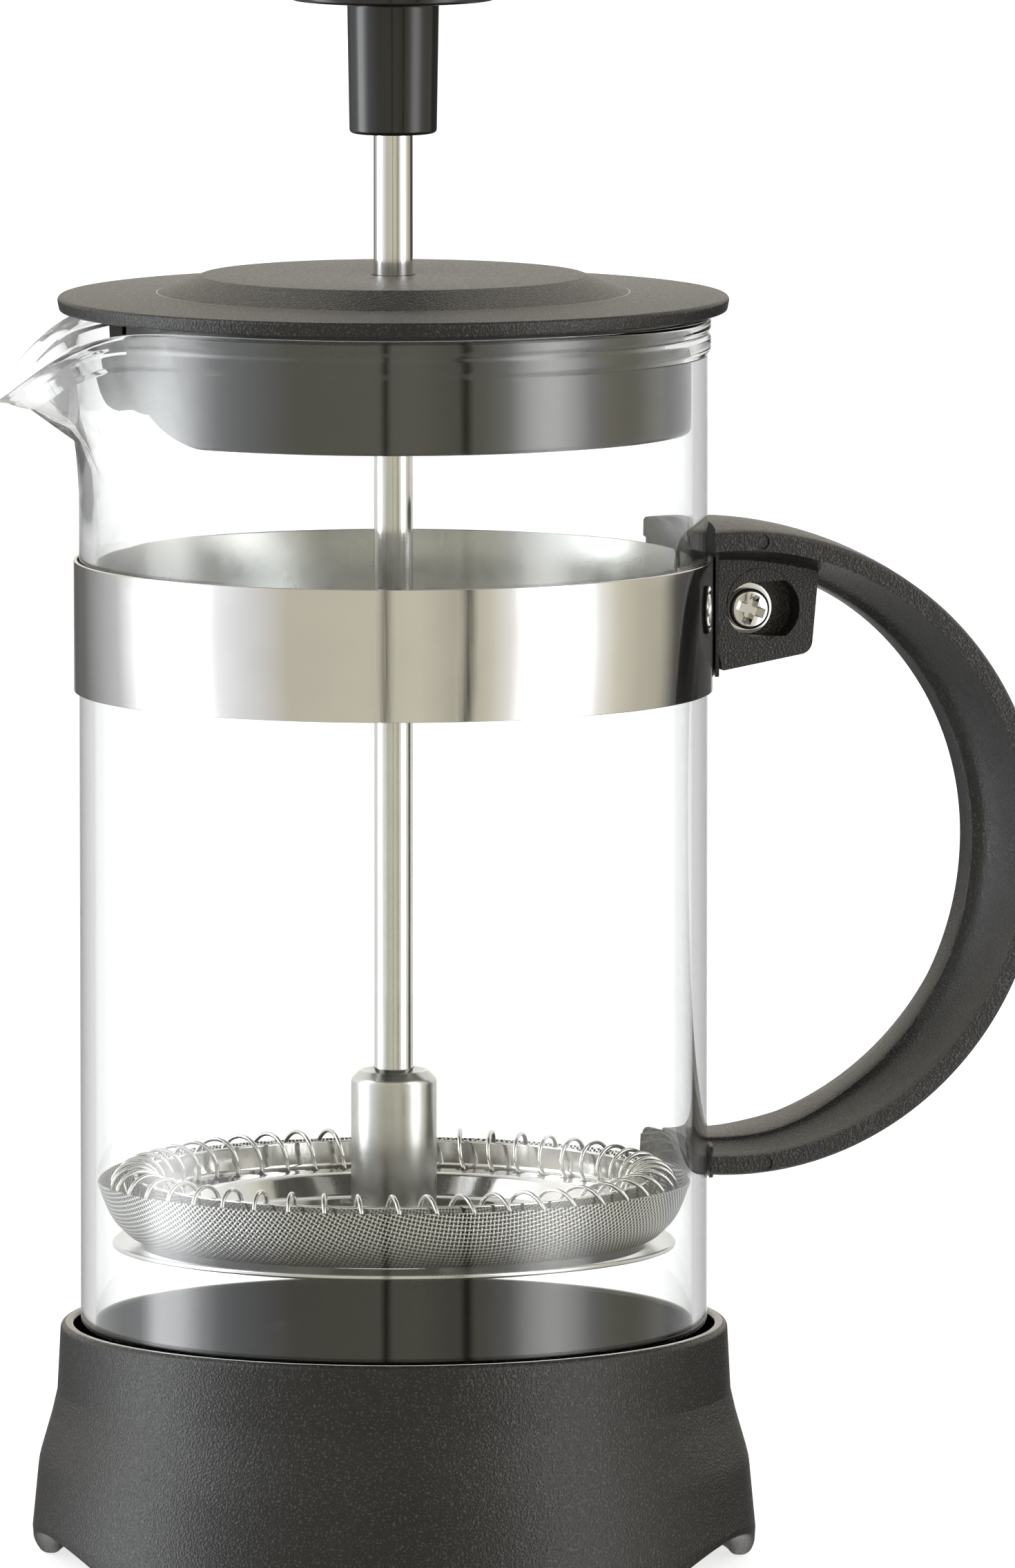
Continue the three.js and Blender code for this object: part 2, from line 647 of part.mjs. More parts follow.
function filterHub() {
  const [z0, z1] = HUB_Z;
  const bore = ROD_R + 0.12;
  const shelf = (ROD_Z[0] + STUD_Z[1]) / 2;
  const profile = [
    v2(STUD_R + 0.12, z0),
    v2(HUB_R - 0.2, z0),
    v2(HUB_R, z0 + 0.2),
    v2(HUB_R, z1 - 0.9),
    v2(HUB_R - 0.6, z1),
    v2(bore + 1.1, z1),
    v2(bore + 0.2, z1 - 0.9),
    v2(bore, z1 - 0.9),
    v2(bore, shelf),
    v2(STUD_R + 0.12, shelf),
  ];
  return revolve(profile, KNOB_STEPS);
}

/** Plate with a raised ledge, an upturned rim and one hole for each turn of the spring. */
function spiralPlate() {
  const t = SPIRAL_THICK;
  const [stepIn, stepOut] = SPIRAL_STEP_R;
  const ledge = SPIRAL_LEDGE_Z;
  const profile = [
    v2(STUD_R + 0.3, SPIRAL_Z),
    v2(stepIn, SPIRAL_Z),
    v2(stepOut, ledge),
    v2(SPIRAL_RIM_R - 0.3, ledge),
    v2(SPIRAL_RIM_R, ledge + 0.3),
    v2(SPIRAL_RIM_R, SPIRAL_RIM_Z),
    v2(SPIRAL_RIM_R - t, SPIRAL_RIM_Z),
    v2(SPIRAL_RIM_R - t, ledge + t),
    v2(stepOut - 0.3, ledge + t),
    v2(stepIn - 0.3, SPIRAL_Z + t),
    v2(STUD_R + 0.3, SPIRAL_Z + t),
  ];
  const plate = revolve(profile, COIL_TURNS);
  const height = ledge + t / 2 - COIL_Z;
  const holeR = COIL_MAJOR_R - Math.sqrt(COIL_R ** 2 - height ** 2);
  const cutters = [];
  for (let i = 0; i < COIL_TURNS; i++) {
    const hole = box(holeR - 0.9, holeR + 1.2, -0.8, 0.8, ledge - 1, ledge + t + 0.6);
    cutters.push(hole.rotateZ(2 * Math.PI * (i + 0.5) / COIL_TURNS));
  }
  for (let i = 0; i < CROSS_HOLES; i++) {
    const slot = box(9, 20, -2.2, 2.2, SPIRAL_Z - 1, SPIRAL_Z + t + 1);
    cutters.push(slot.rotateZ(2 * Math.PI * i / CROSS_HOLES));
  }
  return cut(plate, ...cutters);
}

/** Endless ring of coil: the wire winds round a circle about Z. */
function coilSpring() {
  const count = COIL_TURNS * COIL_STEPS;
  const at = (i) => {
    const turn = 2 * Math.PI * i / COIL_STEPS;
    const round = 2 * Math.PI * i / count + Math.PI / COIL_TURNS;
    const radius = COIL_MAJOR_R - COIL_R * Math.cos(turn);
    return new THREE.Vector3(radius * Math.cos(round), radius * Math.sin(round), COIL_Z + COIL_R * Math.sin(turn));
  };
  const rings = [];
  for (let i = 0; i < count; i++) {
    const here = at(i);
    const along = at(i + 1).sub(at(i - 1)).normalize();
    const round = 2 * Math.PI * i / count + Math.PI / COIL_TURNS;
    const heart = new THREE.Vector3(COIL_MAJOR_R * Math.cos(round), COIL_MAJOR_R * Math.sin(round), COIL_Z);
    const out = here.clone().sub(heart).normalize();
    const side = along.clone().cross(out).normalize();
    rings.push(Array.from({ length: COIL_SIDES }, (_, j) => here.clone()
      .addScaledVector(out, COIL_WIRE_R * Math.cos(2 * Math.PI * j / COIL_SIDES))
      .addScaledVector(side, COIL_WIRE_R * Math.sin(2 * Math.PI * j / COIL_SIDES))));
  }
  return closedTube(rings);
}

/** Shallow bowl with a rounded wall. */
function meshFilter() {
  const t = MESH_THICK;
  const hole = STUD_R + 0.3;
  const outside = MESH_BEND.map(([r, rise]) => v2(r, MESH_FLOOR_Z + rise));
  const inside = MESH_BEND.map(([r, rise, inward, up]) => v2(r - inward * t, MESH_FLOOR_Z + rise + up * t));
  const profile = [
    v2(hole, MESH_FLOOR_Z),
    ...outside,
    v2(MESH_R, MESH_RIM_Z),
    v2(MESH_R - t, MESH_RIM_Z),
    ...inside.reverse(),
    v2(hole, MESH_FLOOR_Z + t),
  ];
  return revolve(profile, FILTER_STEPS);
}

/** Dished plate with a ring of windows, leaving a cross of spokes. */
function crossPlate() {
  const t = CROSS_THICK;
  const profile = [
    v2(STUD_R + 0.3, CROSS_Z),
    v2(CROSS_R - 3, CROSS_Z),
    v2(CROSS_R - 0.1, CROSS_Z + CROSS_RIM_RISE),
    v2(CROSS_R, CROSS_Z + CROSS_RIM_RISE + 0.3),
    v2(CROSS_R - 0.25, CROSS_Z + CROSS_RIM_RISE + t),
    v2(CROSS_R - 3.2, CROSS_Z + t),
    v2(STUD_R + 0.3, CROSS_Z + t),
  ];
  const windows = [];
  for (let i = 0; i < CROSS_HOLES; i++) {
    const middle = 360 * (i + 0.5) / CROSS_HOLES;
    const outline = new THREE.Shape();
    outline.setFromPoints([
      ...arcPoints(0, 0, 22, 22, middle - 15, middle + 15, 4),
      ...arcPoints(0, 0, 10, 10, middle + 11, middle - 11, 3),
    ]);
    windows.push(extrudeUp(outline, CROSS_Z - 1, t + 2));
  }
  return cut(revolve(profile, FILTER_STEPS), ...windows);
}

function filterScrew() {
  const [z0, z1] = STUD_Z;
  const under = CROSS_Z - GAP / 2;
  const profile = [
    v2(0, z0),
    v2(STUD_HEAD_R - 0.8, z0),
    v2(STUD_HEAD_R, z0 + 0.7),
    v2(STUD_HEAD_R, under),
    v2(STUD_R, under),
    v2(STUD_R, z1 - 0.4),
    v2(STUD_R - 0.4, z1),
    v2(0, z1),
  ];
  const slot = box(-STUD_HEAD_R - 1, STUD_HEAD_R + 1, -0.5, 0.5, z0 - 1, z0 + 0.8);
  return cut(revolve(profile, SMALL_STEPS), slot);
}

// ---- assembly ----------------------------------------------------------------------------

const BLACK_PLASTIC = { color: 0x2b2a2a, roughness: 0.6, metalness: 0 };
const STEEL = { color: 0xc8c8c8, roughness: 0.2, metalness: 1 };
const SATIN_STEEL = { color: 0xb9b9b9, roughness: 0.38, metalness: 1 };
const GLASS = { color: 0xf2f7f5, roughness: 0.05, metalness: 0, transparent: true, opacity: 0.3 };
const BRASS = { color: 0xb08d4a, roughness: 0.35, metalness: 1 };

const PIECES = [
  ['base_cup', baseCup, BLACK_PLASTIC],
  ['glass_beaker', glassBeaker, GLASS],
  ['steel_band', steelBand, STEEL],
  ['handle', handle, BLACK_PLASTIC],
  ['clamp_screw', clampScrew, STEEL],
  ['clamp_washer', clampWasher, STEEL],
  ['clamp_nut', clampNut, STEEL],
  ['lid', lid, BLACK_PLASTIC],
  ['knob_body', knobBody, BLACK_PLASTIC],
  ['knob_cap', knobCap, BLACK_PLASTIC],
  ['knob_insert', knobInsert, BRASS],
  ['plunger_rod', plungerRod, STEEL],
  ['filter_hub', filterHub, SATIN_STEEL],
  ['spiral_plate', spiralPlate, STEEL],
  ['coil_spring', coilSpring, STEEL],
  ['mesh_filter', meshFilter, SATIN_STEEL],
  ['cross_plate', crossPlate, STEEL],
  ['filter_screw', filterScrew, STEEL],
];

const press = new THREE.Group();
for (const [name, make, look] of PIECES) {
  const mesh = new THREE.Mesh(make(), new THREE.MeshStandardMaterial(look));
  mesh.name = name;
  press.add(mesh);
}

// Spout tip and handle end up equally far from x = 0.
const extent = new THREE.Box3().setFromObject(press);
press.position.x = -(extent.min.x + extent.max.x) / 2;

export default press;
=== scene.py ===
"""A small French press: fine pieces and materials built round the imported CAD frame.

Shapes are worked out in millimetres about the beaker's axis, and turned into metres in the row frame
when a piece is made. Angles about the axis are in degrees from +X, where the handle is.
"""

import math

import bmesh
import bpy
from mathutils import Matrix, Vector


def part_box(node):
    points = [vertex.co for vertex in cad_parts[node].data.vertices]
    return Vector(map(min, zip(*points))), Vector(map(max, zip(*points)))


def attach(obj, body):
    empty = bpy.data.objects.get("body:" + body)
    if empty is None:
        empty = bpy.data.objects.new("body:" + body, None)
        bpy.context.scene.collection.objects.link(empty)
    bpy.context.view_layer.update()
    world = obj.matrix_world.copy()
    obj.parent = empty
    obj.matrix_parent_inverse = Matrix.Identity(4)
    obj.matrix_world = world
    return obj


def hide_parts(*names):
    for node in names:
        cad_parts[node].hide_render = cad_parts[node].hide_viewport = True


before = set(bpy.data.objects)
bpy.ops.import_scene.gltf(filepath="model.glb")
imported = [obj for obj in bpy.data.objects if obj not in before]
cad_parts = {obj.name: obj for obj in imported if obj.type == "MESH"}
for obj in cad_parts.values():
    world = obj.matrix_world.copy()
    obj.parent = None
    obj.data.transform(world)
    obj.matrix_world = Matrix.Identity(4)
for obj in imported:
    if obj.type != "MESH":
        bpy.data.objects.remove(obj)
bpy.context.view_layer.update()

MM = 0.001
AXIS_X = sum(corner.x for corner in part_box("plunger_rod")) / 2


# ---- sizes from the frame ----

def heights(node):
    """Lowest and highest z of a CAD node, in millimetres."""
    low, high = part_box(node)
    return low.z / MM, high.z / MM


def radius_of(node):
    """Radius of a round CAD node, in millimetres, from its size across the handle's plane."""
    low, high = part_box(node)
    return (high.y - low.y) / 2 / MM


BEAD_BULGE = 0.35
GLASS_R = radius_of("glass_beaker") - BEAD_BULGE
GLASS_WALL = 1.6
GLASS_Z, RIM_Z = heights("glass_beaker")
GLASS_FLOOR = 2.0
GLASS_CORNER = 5.0
BEAD_HEIGHT = 4.2
SPOUT_PUSH = 11.0                   # how far the spout's tip stands out from the wall
SPOUT_DROOP = 8.4                   # how far it hangs below the rim
SPOUT_START_Z = 121.6
SPOUT_CURVE = 1.75                  # power by which the push grows with height
SPOUT_HALF_WIDTH = 10.0             # degrees at which the push has fallen to a half
SPOUT_END = 46.0                    # degrees at which it has faded out
GLASS_IOR = 1.49
SPOUT_IOR = 1.3                     # lower than real glass, see clear_glass
SPOUT_ALPHA = 0.8

BAND_THICK = 0.4
BAND_Z, BAND_TOP = heights("steel_band")
BAND_R = radius_of("steel_band") - BAND_THICK
EAR_END_X = (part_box("steel_band")[1].x - AXIS_X) / MM
EAR_Z = (100.6, 109.8)
EAR_GAP = 0.6

HANDLE_HALF = radius_of("handle")
HANDLE_X = 36.7                     # centre of the handle's arch
HANDLE_Z = 79.2
HANDLE_R = (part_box("handle")[1].x - AXIS_X) / MM - HANDLE_X
HANDLE_INNER = (30.2, 31.4, 32.4)   # half axes of the arch's inner ellipse: sideways, up and down
HANDLE_CROWN = 0.6
HANDLE_SIDE_BAND = 2.1
HANDLE_INNER_HALF = 2.3
HANDLE_END_HALF = 4.9               # the same at the arch's ends, where the flanks fill out
HANDLE_FILL = (58, 82)              # degrees up and down from +X between which they fill out
HANDLE_END = 95                     # degrees up and down from +X to the arch's ends
SADDLE_THICK = 0.8
SADDLE_EDGE = 0.4
SADDLE_HALF_ANGLE = 16.8
UPPER_SADDLE = (98.9, 114.8)
LOWER_SADDLE = (42.8, 46.4)
LUG_HALF = 5.75
LUG_SLOT_HALF = 1.05
POCKET_DEPTH = 3.1
NUT_FLATS = 5.0
SCREW_X = 40.1
SCREW_Z = sum(heights("clamp_nut")) / 2
SCREW_HOLE_R = 1.85

BASE_FOOT_R = radius_of("base_cup") + 0.02
BASE_TOP = heights("base_cup")[1]
BASE_RIM_R = BASE_FOOT_R - 3.2
BASE_KINK_Z = 19.4
BASE_WALL = 1.5
BASE_FLOOR = (6.4, 7.9)
FOOT_COUNT = 5
FOOT_HALF_ANGLE = 12
FOOT_DEPTH = 2.9
ARCH_HEIGHT = 4.2

LID_BOTTOM, LID_TOP = heights("lid")
FLANGE_R = radius_of("lid")
FLANGE_Z = (RIM_Z + 0.6, RIM_Z + 2.3)
LID_CONE_R = 26.25
LID_TOP_R = 21.3
LID_PLATE = 1.9
SKIRT_R = GLASS_R - 1.9
SKIRT_WALL = 1.5
BOSS_R = 4.6
BOSS_Z = 137.0
ROD_HOLE_R = 2.37
POUR_NEAR = (10.5, 44)              # degrees from -X to the gap's edge on the -Y side, top and bottom
POUR_FAR = (33, 51)                 # the same on the +Y side; both are fitted to the photo

KNOB_R = radius_of("knob_cap")
KNOB_TOP = heights("knob_cap")[1]
SLEEVE_Z = heights("knob_body")[0]
DISC_R = radius_of("knob_body")
DISC_Z = 174.4
SLEEVE_R = (4.85, 5.1)              # at its lower and upper end
INSERT_R = radius_of("knob_insert")
INSERT_Z = heights("knob_insert")

ROD_R = radius_of("plunger_rod")
ROD_Z = heights("plunger_rod")
HUB_R = radius_of("filter_hub")
HUB_Z = heights("filter_hub")
STUD_R = 1.9
STUD_HEAD_R = radius_of("filter_screw")
STUD_Z = heights("filter_screw")
PLATE_R = radius_of("spiral_plate")
PLATE_Z, PLATE_RIM_Z = heights("spiral_plate")
PLATE_THICK = 0.5
PLATE_STEP_R = (22.4, 24.2)
PLATE_LEDGE_Z = 40.1
COIL_TURNS = 48
COIL_WIRE_R = 0.25
COIL_R = 2.75
COIL_Z = sum(heights("coil_spring")) / 2
COIL_MAJOR_R = 28.8
MESH_R = radius_of("mesh_filter")
MESH_Z, MESH_RIM_Z = heights("mesh_filter")
MESH_FLOOR_R = 27.9
MESH_THICK = 0.18
MESH_PITCH = 0.5                    # from one wire of the weave to the next
CROSS_R = radius_of("cross_plate")
CROSS_Z = heights("cross_plate")[0]
CROSS_THICK = 0.5
CROSS_HOLES = 8

RING = 192                          # steps round a large ring
SMALL_RING = 72


# ---- shapes: each is a pair of vertices and faces, in millimetres about the axis ----

def arc(cx, cy, rx, ry, start, end, steps):
    """Points of an ellipse's arc between two angles."""
    angles = [math.radians(start + (end - start) * i / steps) for i in range(steps + 1)]
    return [(cx + rx * math.cos(a), cy + ry * math.sin(a)) for a in angles]


def rounded(corners, turn=12):
    """Closed outline through (x, y, radius) corners, each rounded with one step for each turn degrees."""
    outline = []
    for index, (x, y, radius) in enumerate(corners):
        here = Vector((x, y))
        before = Vector(corners[index - 1][:2]) - here
        after = Vector(corners[(index + 1) % len(corners)][:2]) - here
        half = before.angle(after) / 2
        bend = math.pi - 2 * half
        if radius == 0 or bend < math.radians(0.5):
            outline.append((x, y))
            continue
        reach = min(radius / math.tan(half), 0.48 * before.length, 0.48 * after.length)
        start = here + before.normalized() * reach
        end = here + after.normalized() * reach
        centre = here + (before.normalized() + after.normalized()).normalized() * (reach / math.cos(half))
        arm = start - centre
        first = math.atan2(arm.y, arm.x)
        sweep = math.atan2(arm.cross(end - centre), arm.dot(end - centre))
        steps = max(2, round(math.degrees(bend) / turn))
        outline += arc(*centre, arm.length, arm.length, *map(math.degrees, (first, first + sweep)), steps)
    return outline


def split_long(outline, longest, chosen=lambda x, y: True):
    """The closed outline with extra points on its long edges whose ends are both chosen."""
    points = []
    for (ax, ay), (bx, by) in zip(outline, outline[1:] + outline[:1]):
        points.append((ax, ay))
        if chosen(ax, ay) and chosen(bx, by):
            count = math.ceil(math.hypot(bx - ax, by - ay) / longest)
            points += [(ax + (bx - ax) * i / count, ay + (by - ay) * i / count) for i in range(1, count)]
    return points


def revolve(outline, steps=RING, move=None):
    """A closed (radius, height) outline turned about the axis. move may shift each point."""
    verts = []
    rows = []
    for radius, height in outline:
        if radius < 1e-6:
            rows.append([len(verts)] * steps)
            verts.append((0, 0, height))
            continue
        rows.append(list(range(len(verts), len(verts) + steps)))
        for i in range(steps):
            a = 2 * math.pi * i / steps
            verts.append((radius * math.cos(a), radius * math.sin(a), height))
    if move:
        verts = [move(*point) for point in verts]
    faces = []
    for here, after in zip(rows, rows[1:] + rows[:1]):
        for j in range(steps):
            k = (j + 1) % steps
            corners = list(dict.fromkeys((here[j], here[k], after[k], after[j])))
            if len(corners) > 2:
                faces.append(corners)
    return verts, faces


def loft(rings, endless=False):
    """A solid between equal rings of points. An endless one joins its last ring to its first."""
    sides = len(rings[0])
    verts = [point for ring in rings for point in ring]
    faces = []
    for i in range(len(rings) if endless else len(rings) - 1):
        here = i * sides
        after = (i + 1) % len(rings) * sides
        for j in range(sides):
            k = (j + 1) % sides
            faces.append((here + j, here + k, after + k, after + j))
    if not endless:
        faces.append(tuple(range(sides)))
        faces.append(tuple(range(len(verts) - 1, len(verts) - 1 - sides, -1)))
    return verts, faces


def prism(outline, low, high, place):
    """An outline extruded from low to high. place(x, y, along) gives each point."""
    return loft([[place(x, y, along) for x, y in outline] for along in (low, high)])


def upright(x, y, along):
    return x, y, along


def across(x, z, along):
    """Places an outline drawn in the handle's plane, extruded across it."""
    return x, along, z


def turned(shape, degrees):
    """A shape turned about the axis."""
    a = math.radians(degrees)
    c, s = math.cos(a), math.sin(a)
    return [(x * c - y * s, x * s + y * c, z) for x, y, z in shape[0]], shape[1]


def on_screw(shape, y0):
    """A shape made about the axis, laid along +Y from y0 on the clamp screw's line."""
    return [(SCREW_X + x, y0 + z, SCREW_Z - y) for x, y, z in shape[0]], shape[1]


def together(shapes):
    """Several shapes as one."""
    verts = []
    faces = []
    for points, polygons in shapes:
        start = len(verts)
        verts += points
        faces += [tuple(start + i for i in polygon) for polygon in polygons]
    return verts, faces


def circle(cx, cy, radius, steps=SMALL_RING):
    return arc(cx, cy, radius, radius, 0, 360, steps)[:-1]


# ---- making pieces ----

def new_object(name, shape):
    """A mesh object in the row frame, with its faces turned outward."""
    mesh = bpy.data.meshes.new(name)
    mesh.from_pydata([(AXIS_X + x * MM, y * MM, z * MM) for x, y, z in shape[0]], [], shape[1])
    mesh.validate()
    soup = bmesh.new()
    soup.from_mesh(mesh)
    bmesh.ops.recalc_face_normals(soup, faces=soup.faces)
    soup.to_mesh(mesh)
    soup.free()
    obj = bpy.data.objects.new(name, mesh)
    bpy.context.scene.collection.objects.link(obj)
    return obj


def boolean(obj, operation, shape):
    """Joins a shape to the object, or cuts it out, for good."""
    tool = new_object("tool", shape)
    modifier = obj.modifiers.new("boolean", "BOOLEAN")
    modifier.operation = operation
    modifier.solver = "EXACT"
    modifier.object = tool
    depsgraph = bpy.context.evaluated_depsgraph_get()
    mesh = bpy.data.meshes.new_from_object(obj.evaluated_get(depsgraph))
    obj.modifiers.clear()
    old = obj.data
    obj.data = mesh
    mesh.name = obj.name
    bpy.data.meshes.remove(old)
    bpy.data.objects.remove(tool)


def piece(obj, body, node, materials, choose=None, crease=28):
    """Gives a piece its shading and materials, hangs it on its body and hides the CAD node it stands for.
    choose(radius, z, outward) picks the material of a face from where it is, in millimetres, and how much
    it faces away from the axis."""
    mesh = obj.data
    mesh.materials.clear()
    for material in materials:
        mesh.materials.append(material)
    for polygon in mesh.polygons:
        x = polygon.center.x - AXIS_X
        y = polygon.center.y
        radius = math.hypot(x, y)
        outward = (polygon.normal.x * x + polygon.normal.y * y) / max(radius, 1e-9)
        polygon.material_index = choose(radius / MM, polygon.center.z / MM, outward) if choose else 0
    mesh.shade_smooth()
    mesh.set_sharp_from_angle(angle=math.radians(crease))
    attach(obj, body)
    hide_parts(node)
    return obj


# ---- materials ----

class Graph:
    """Short calls for building one node graph."""

    def __init__(self, tree):
        self.tree = tree

    def node(self, kind, **settings):
        made = self.tree.nodes.new(kind)
        for name, value in settings.items():
            setattr(made, name, value)
        return made

    def put(self, value, socket):
        """A number, a tuple or another node's output goes into a socket."""
        if isinstance(value, bpy.types.NodeSocket):
            self.tree.links.new(value, socket)
        else:
            socket.default_value = value

    def math(self, operation, a, b=None, clamp=False):
        made = self.node("ShaderNodeMath", operation=operation, use_clamp=clamp)
        self.put(a, made.inputs[0])
        if b is not None:
            self.put(b, made.inputs[1])
        return made.outputs[0]

    def scaled(self, vector, amounts):
        """A vector with each axis multiplied."""
        made = self.node("ShaderNodeVectorMath", operation="MULTIPLY")
        self.put(vector, made.inputs[0])
        made.inputs[1].default_value = amounts
        return made.outputs[0]

    def noise(self, vector, size, detail=2.0, roughness=0.5):
        """Noise with features of about this size in millimetres."""
        made = self.node("ShaderNodeTexNoise")
        self.put(vector, made.inputs["Vector"])
        made.inputs["Scale"].default_value = 1 / (size * MM)
        made.inputs["Detail"].default_value = detail
        made.inputs["Roughness"].default_value = roughness
        return made.outputs[0]

    def between(self, value, low, high, start=0.3, end=0.7):
        """A value from start to end turned into one from low to high."""
        made = self.node("ShaderNodeMapRange")
        self.put(value, made.inputs["Value"])
        made.inputs["From Min"].default_value = start
        made.inputs["From Max"].default_value = end
        made.inputs["To Min"].default_value = low
        made.inputs["To Max"].default_value = high
        return made.outputs[0]

    def mix(self, factor, a, b):
        """Colour a where factor is 0 and b where it is 1."""
        made = self.node("ShaderNodeMix", data_type="RGBA")
        self.put(factor, made.inputs["Factor"])
        self.put(a, made.inputs[6])
        self.put(b, made.inputs[7])
        return made.outputs[2]

    def bump(self, height, depth, strength=1.0, normal=None):
        """Bump as deep as depth in millimetres where height goes from 0 to 1."""
        made = self.node("ShaderNodeBump")
        made.inputs["Strength"].default_value = strength
        made.inputs["Distance"].default_value = depth * MM
        self.put(height, made.inputs["Height"])
        if normal is not None:
            self.put(normal, made.inputs["Normal"])
        return made.outputs[0]


def shader(name, **sockets):
    """A new material with its graph, its Principled shader and its object coordinates."""
    material = bpy.data.materials.new(name)
    material.use_nodes = True
    graph = Graph(material.node_tree)
    principled = material.node_tree.nodes["Principled BSDF"]
    for socket, value in sockets.items():
        principled.inputs[socket.replace("_", " ")].default_value = value
    place = graph.node("ShaderNodeTexCoord").outputs["Object"]
    return material, graph, principled.inputs, place


def grained_plastic():
    """Black moulding with a fine sparked grain, whose crests carry a painted highlight: a lighter colour
    standing in for sparkle.
    """
    material, graph, inputs, place = shader("black_grained", IOR=1.46)
    grain = graph.noise(place, 0.25, detail=1.0, roughness=0.5)
    cloud = graph.noise(place, 9.0)
    tone = graph.mix(graph.between(cloud, 0, 1), (0.0035, 0.0032, 0.0029, 1), (0.006, 0.0056, 0.0052, 1))
    # The grain's crests get a lighter base colour, a painted highlight that stands in for sparkle.
    crest_glint = graph.between(grain, 0, 1, 0.56, 0.72)
    graph.put(graph.mix(crest_glint, tone, (0.04, 0.038, 0.036, 1)), inputs["Base Color"])
    graph.put(graph.between(grain, 0.42, 0.3), inputs["Roughness"])
    graph.put(graph.bump(grain, 0.11, 0.8), inputs["Normal"])
    return material


def smooth_plastic():
    """Black moulding off a polished tool, faintly wavy, with hairline scratches."""
    material, graph, inputs, place = shader("black_smooth", IOR=1.5)
    wave = graph.noise(place, 14.0)
    hairs = graph.noise(graph.scaled(place, (1, 1, 0.06)), 0.35, detail=1.0)
    graph.put(graph.mix(wave, (0.007, 0.0066, 0.006, 1), (0.011, 0.0104, 0.0098, 1)), inputs["Base Color"])
    graph.put(graph.between(hairs, 0.08, 0.17, 0.4, 0.8), inputs["Roughness"])
    graph.put(graph.bump(wave, 0.06, 0.5), inputs["Normal"])
    return material


def polished_steel():
    """Bright steel, drawn or rolled, with faint lines along it."""
    material, graph, inputs, place = shader("steel_polished", Metallic=1.0)
    lines = graph.noise(graph.scaled(place, (1, 1, 0.02)), 0.25, detail=2.0)
    cloud = graph.noise(place, 6.0)
    graph.put(graph.mix(cloud, (0.6, 0.59, 0.575, 1), (0.68, 0.67, 0.655, 1)), inputs["Base Color"])
    graph.put(graph.between(lines, 0.05, 0.13), inputs["Roughness"])
    wobble = graph.bump(cloud, 0.02, 0.4)
    graph.put(graph.bump(lines, 0.0015, 0.3, wobble), inputs["Normal"])
    return material


def satin_steel():
    """Turned steel with a soft sheen and cloudy marks from handling."""
    material, graph, inputs, place = shader("steel_satin", Metallic=1.0)
    cloud = graph.noise(place, 4.0, detail=3.0)
    turning = graph.noise(graph.scaled(place, (0.03, 0.03, 1)), 0.12, detail=1.0)
    graph.put(graph.mix(cloud, (0.46, 0.455, 0.448, 1), (0.62, 0.614, 0.604, 1)), inputs["Base Color"])
    graph.put(graph.between(cloud, 0.2, 0.28), inputs["Roughness"])
    graph.put(graph.bump(turning, 0.0015, 0.4), inputs["Normal"])
    return material


def brass():
    """Machined brass, slightly tarnished."""
    material, graph, inputs, place = shader("brass_turned", Metallic=1.0)
    cloud = graph.noise(place, 1.5, detail=3.0)
    graph.put(graph.mix(cloud, (0.62, 0.42, 0.17, 1), (0.74, 0.55, 0.27, 1)), inputs["Base Color"])
    graph.put(graph.between(cloud, 0.25, 0.42), inputs["Roughness"])
    return material


def clear_glass():
    """Borosilicate glass, with a faint ripple from blowing. In the spout it bends light less and lets some
    straight through. Real glass does neither: without it the spout showed black streaks."""
    material, graph, inputs, place = shader(
        "glass_clear", Base_Color=(0.985, 0.995, 0.99, 1), Roughness=0.0, Transmission_Weight=1.0
    )
    ripple = graph.noise(graph.scaled(place, (1, 1, 0.12)), 7.0, detail=1.0)
    graph.put(graph.bump(ripple, 0.02, 0.25), inputs["Normal"])
    spot = graph.node("ShaderNodeSeparateXYZ")
    graph.put(place, spot.inputs[0])
    across_rim = graph.math("SUBTRACT", spot.outputs[0], AXIS_X)
    outwards = graph.between(across_rim, 0, 1, (-GLASS_R + 7) * MM, (-GLASS_R + 1.5) * MM)
    upwards = graph.between(spot.outputs[2], 0, 1, (SPOUT_START_Z - 15) * MM, (SPOUT_START_Z - 4) * MM)
    spout = graph.math("MULTIPLY", outwards, upwards, True)
    graph.put(graph.between(spout, GLASS_IOR, SPOUT_IOR, 0, 1), inputs["IOR"])
    graph.put(graph.between(spout, 1.0, SPOUT_ALPHA, 0, 1), inputs["Alpha"])
    return material


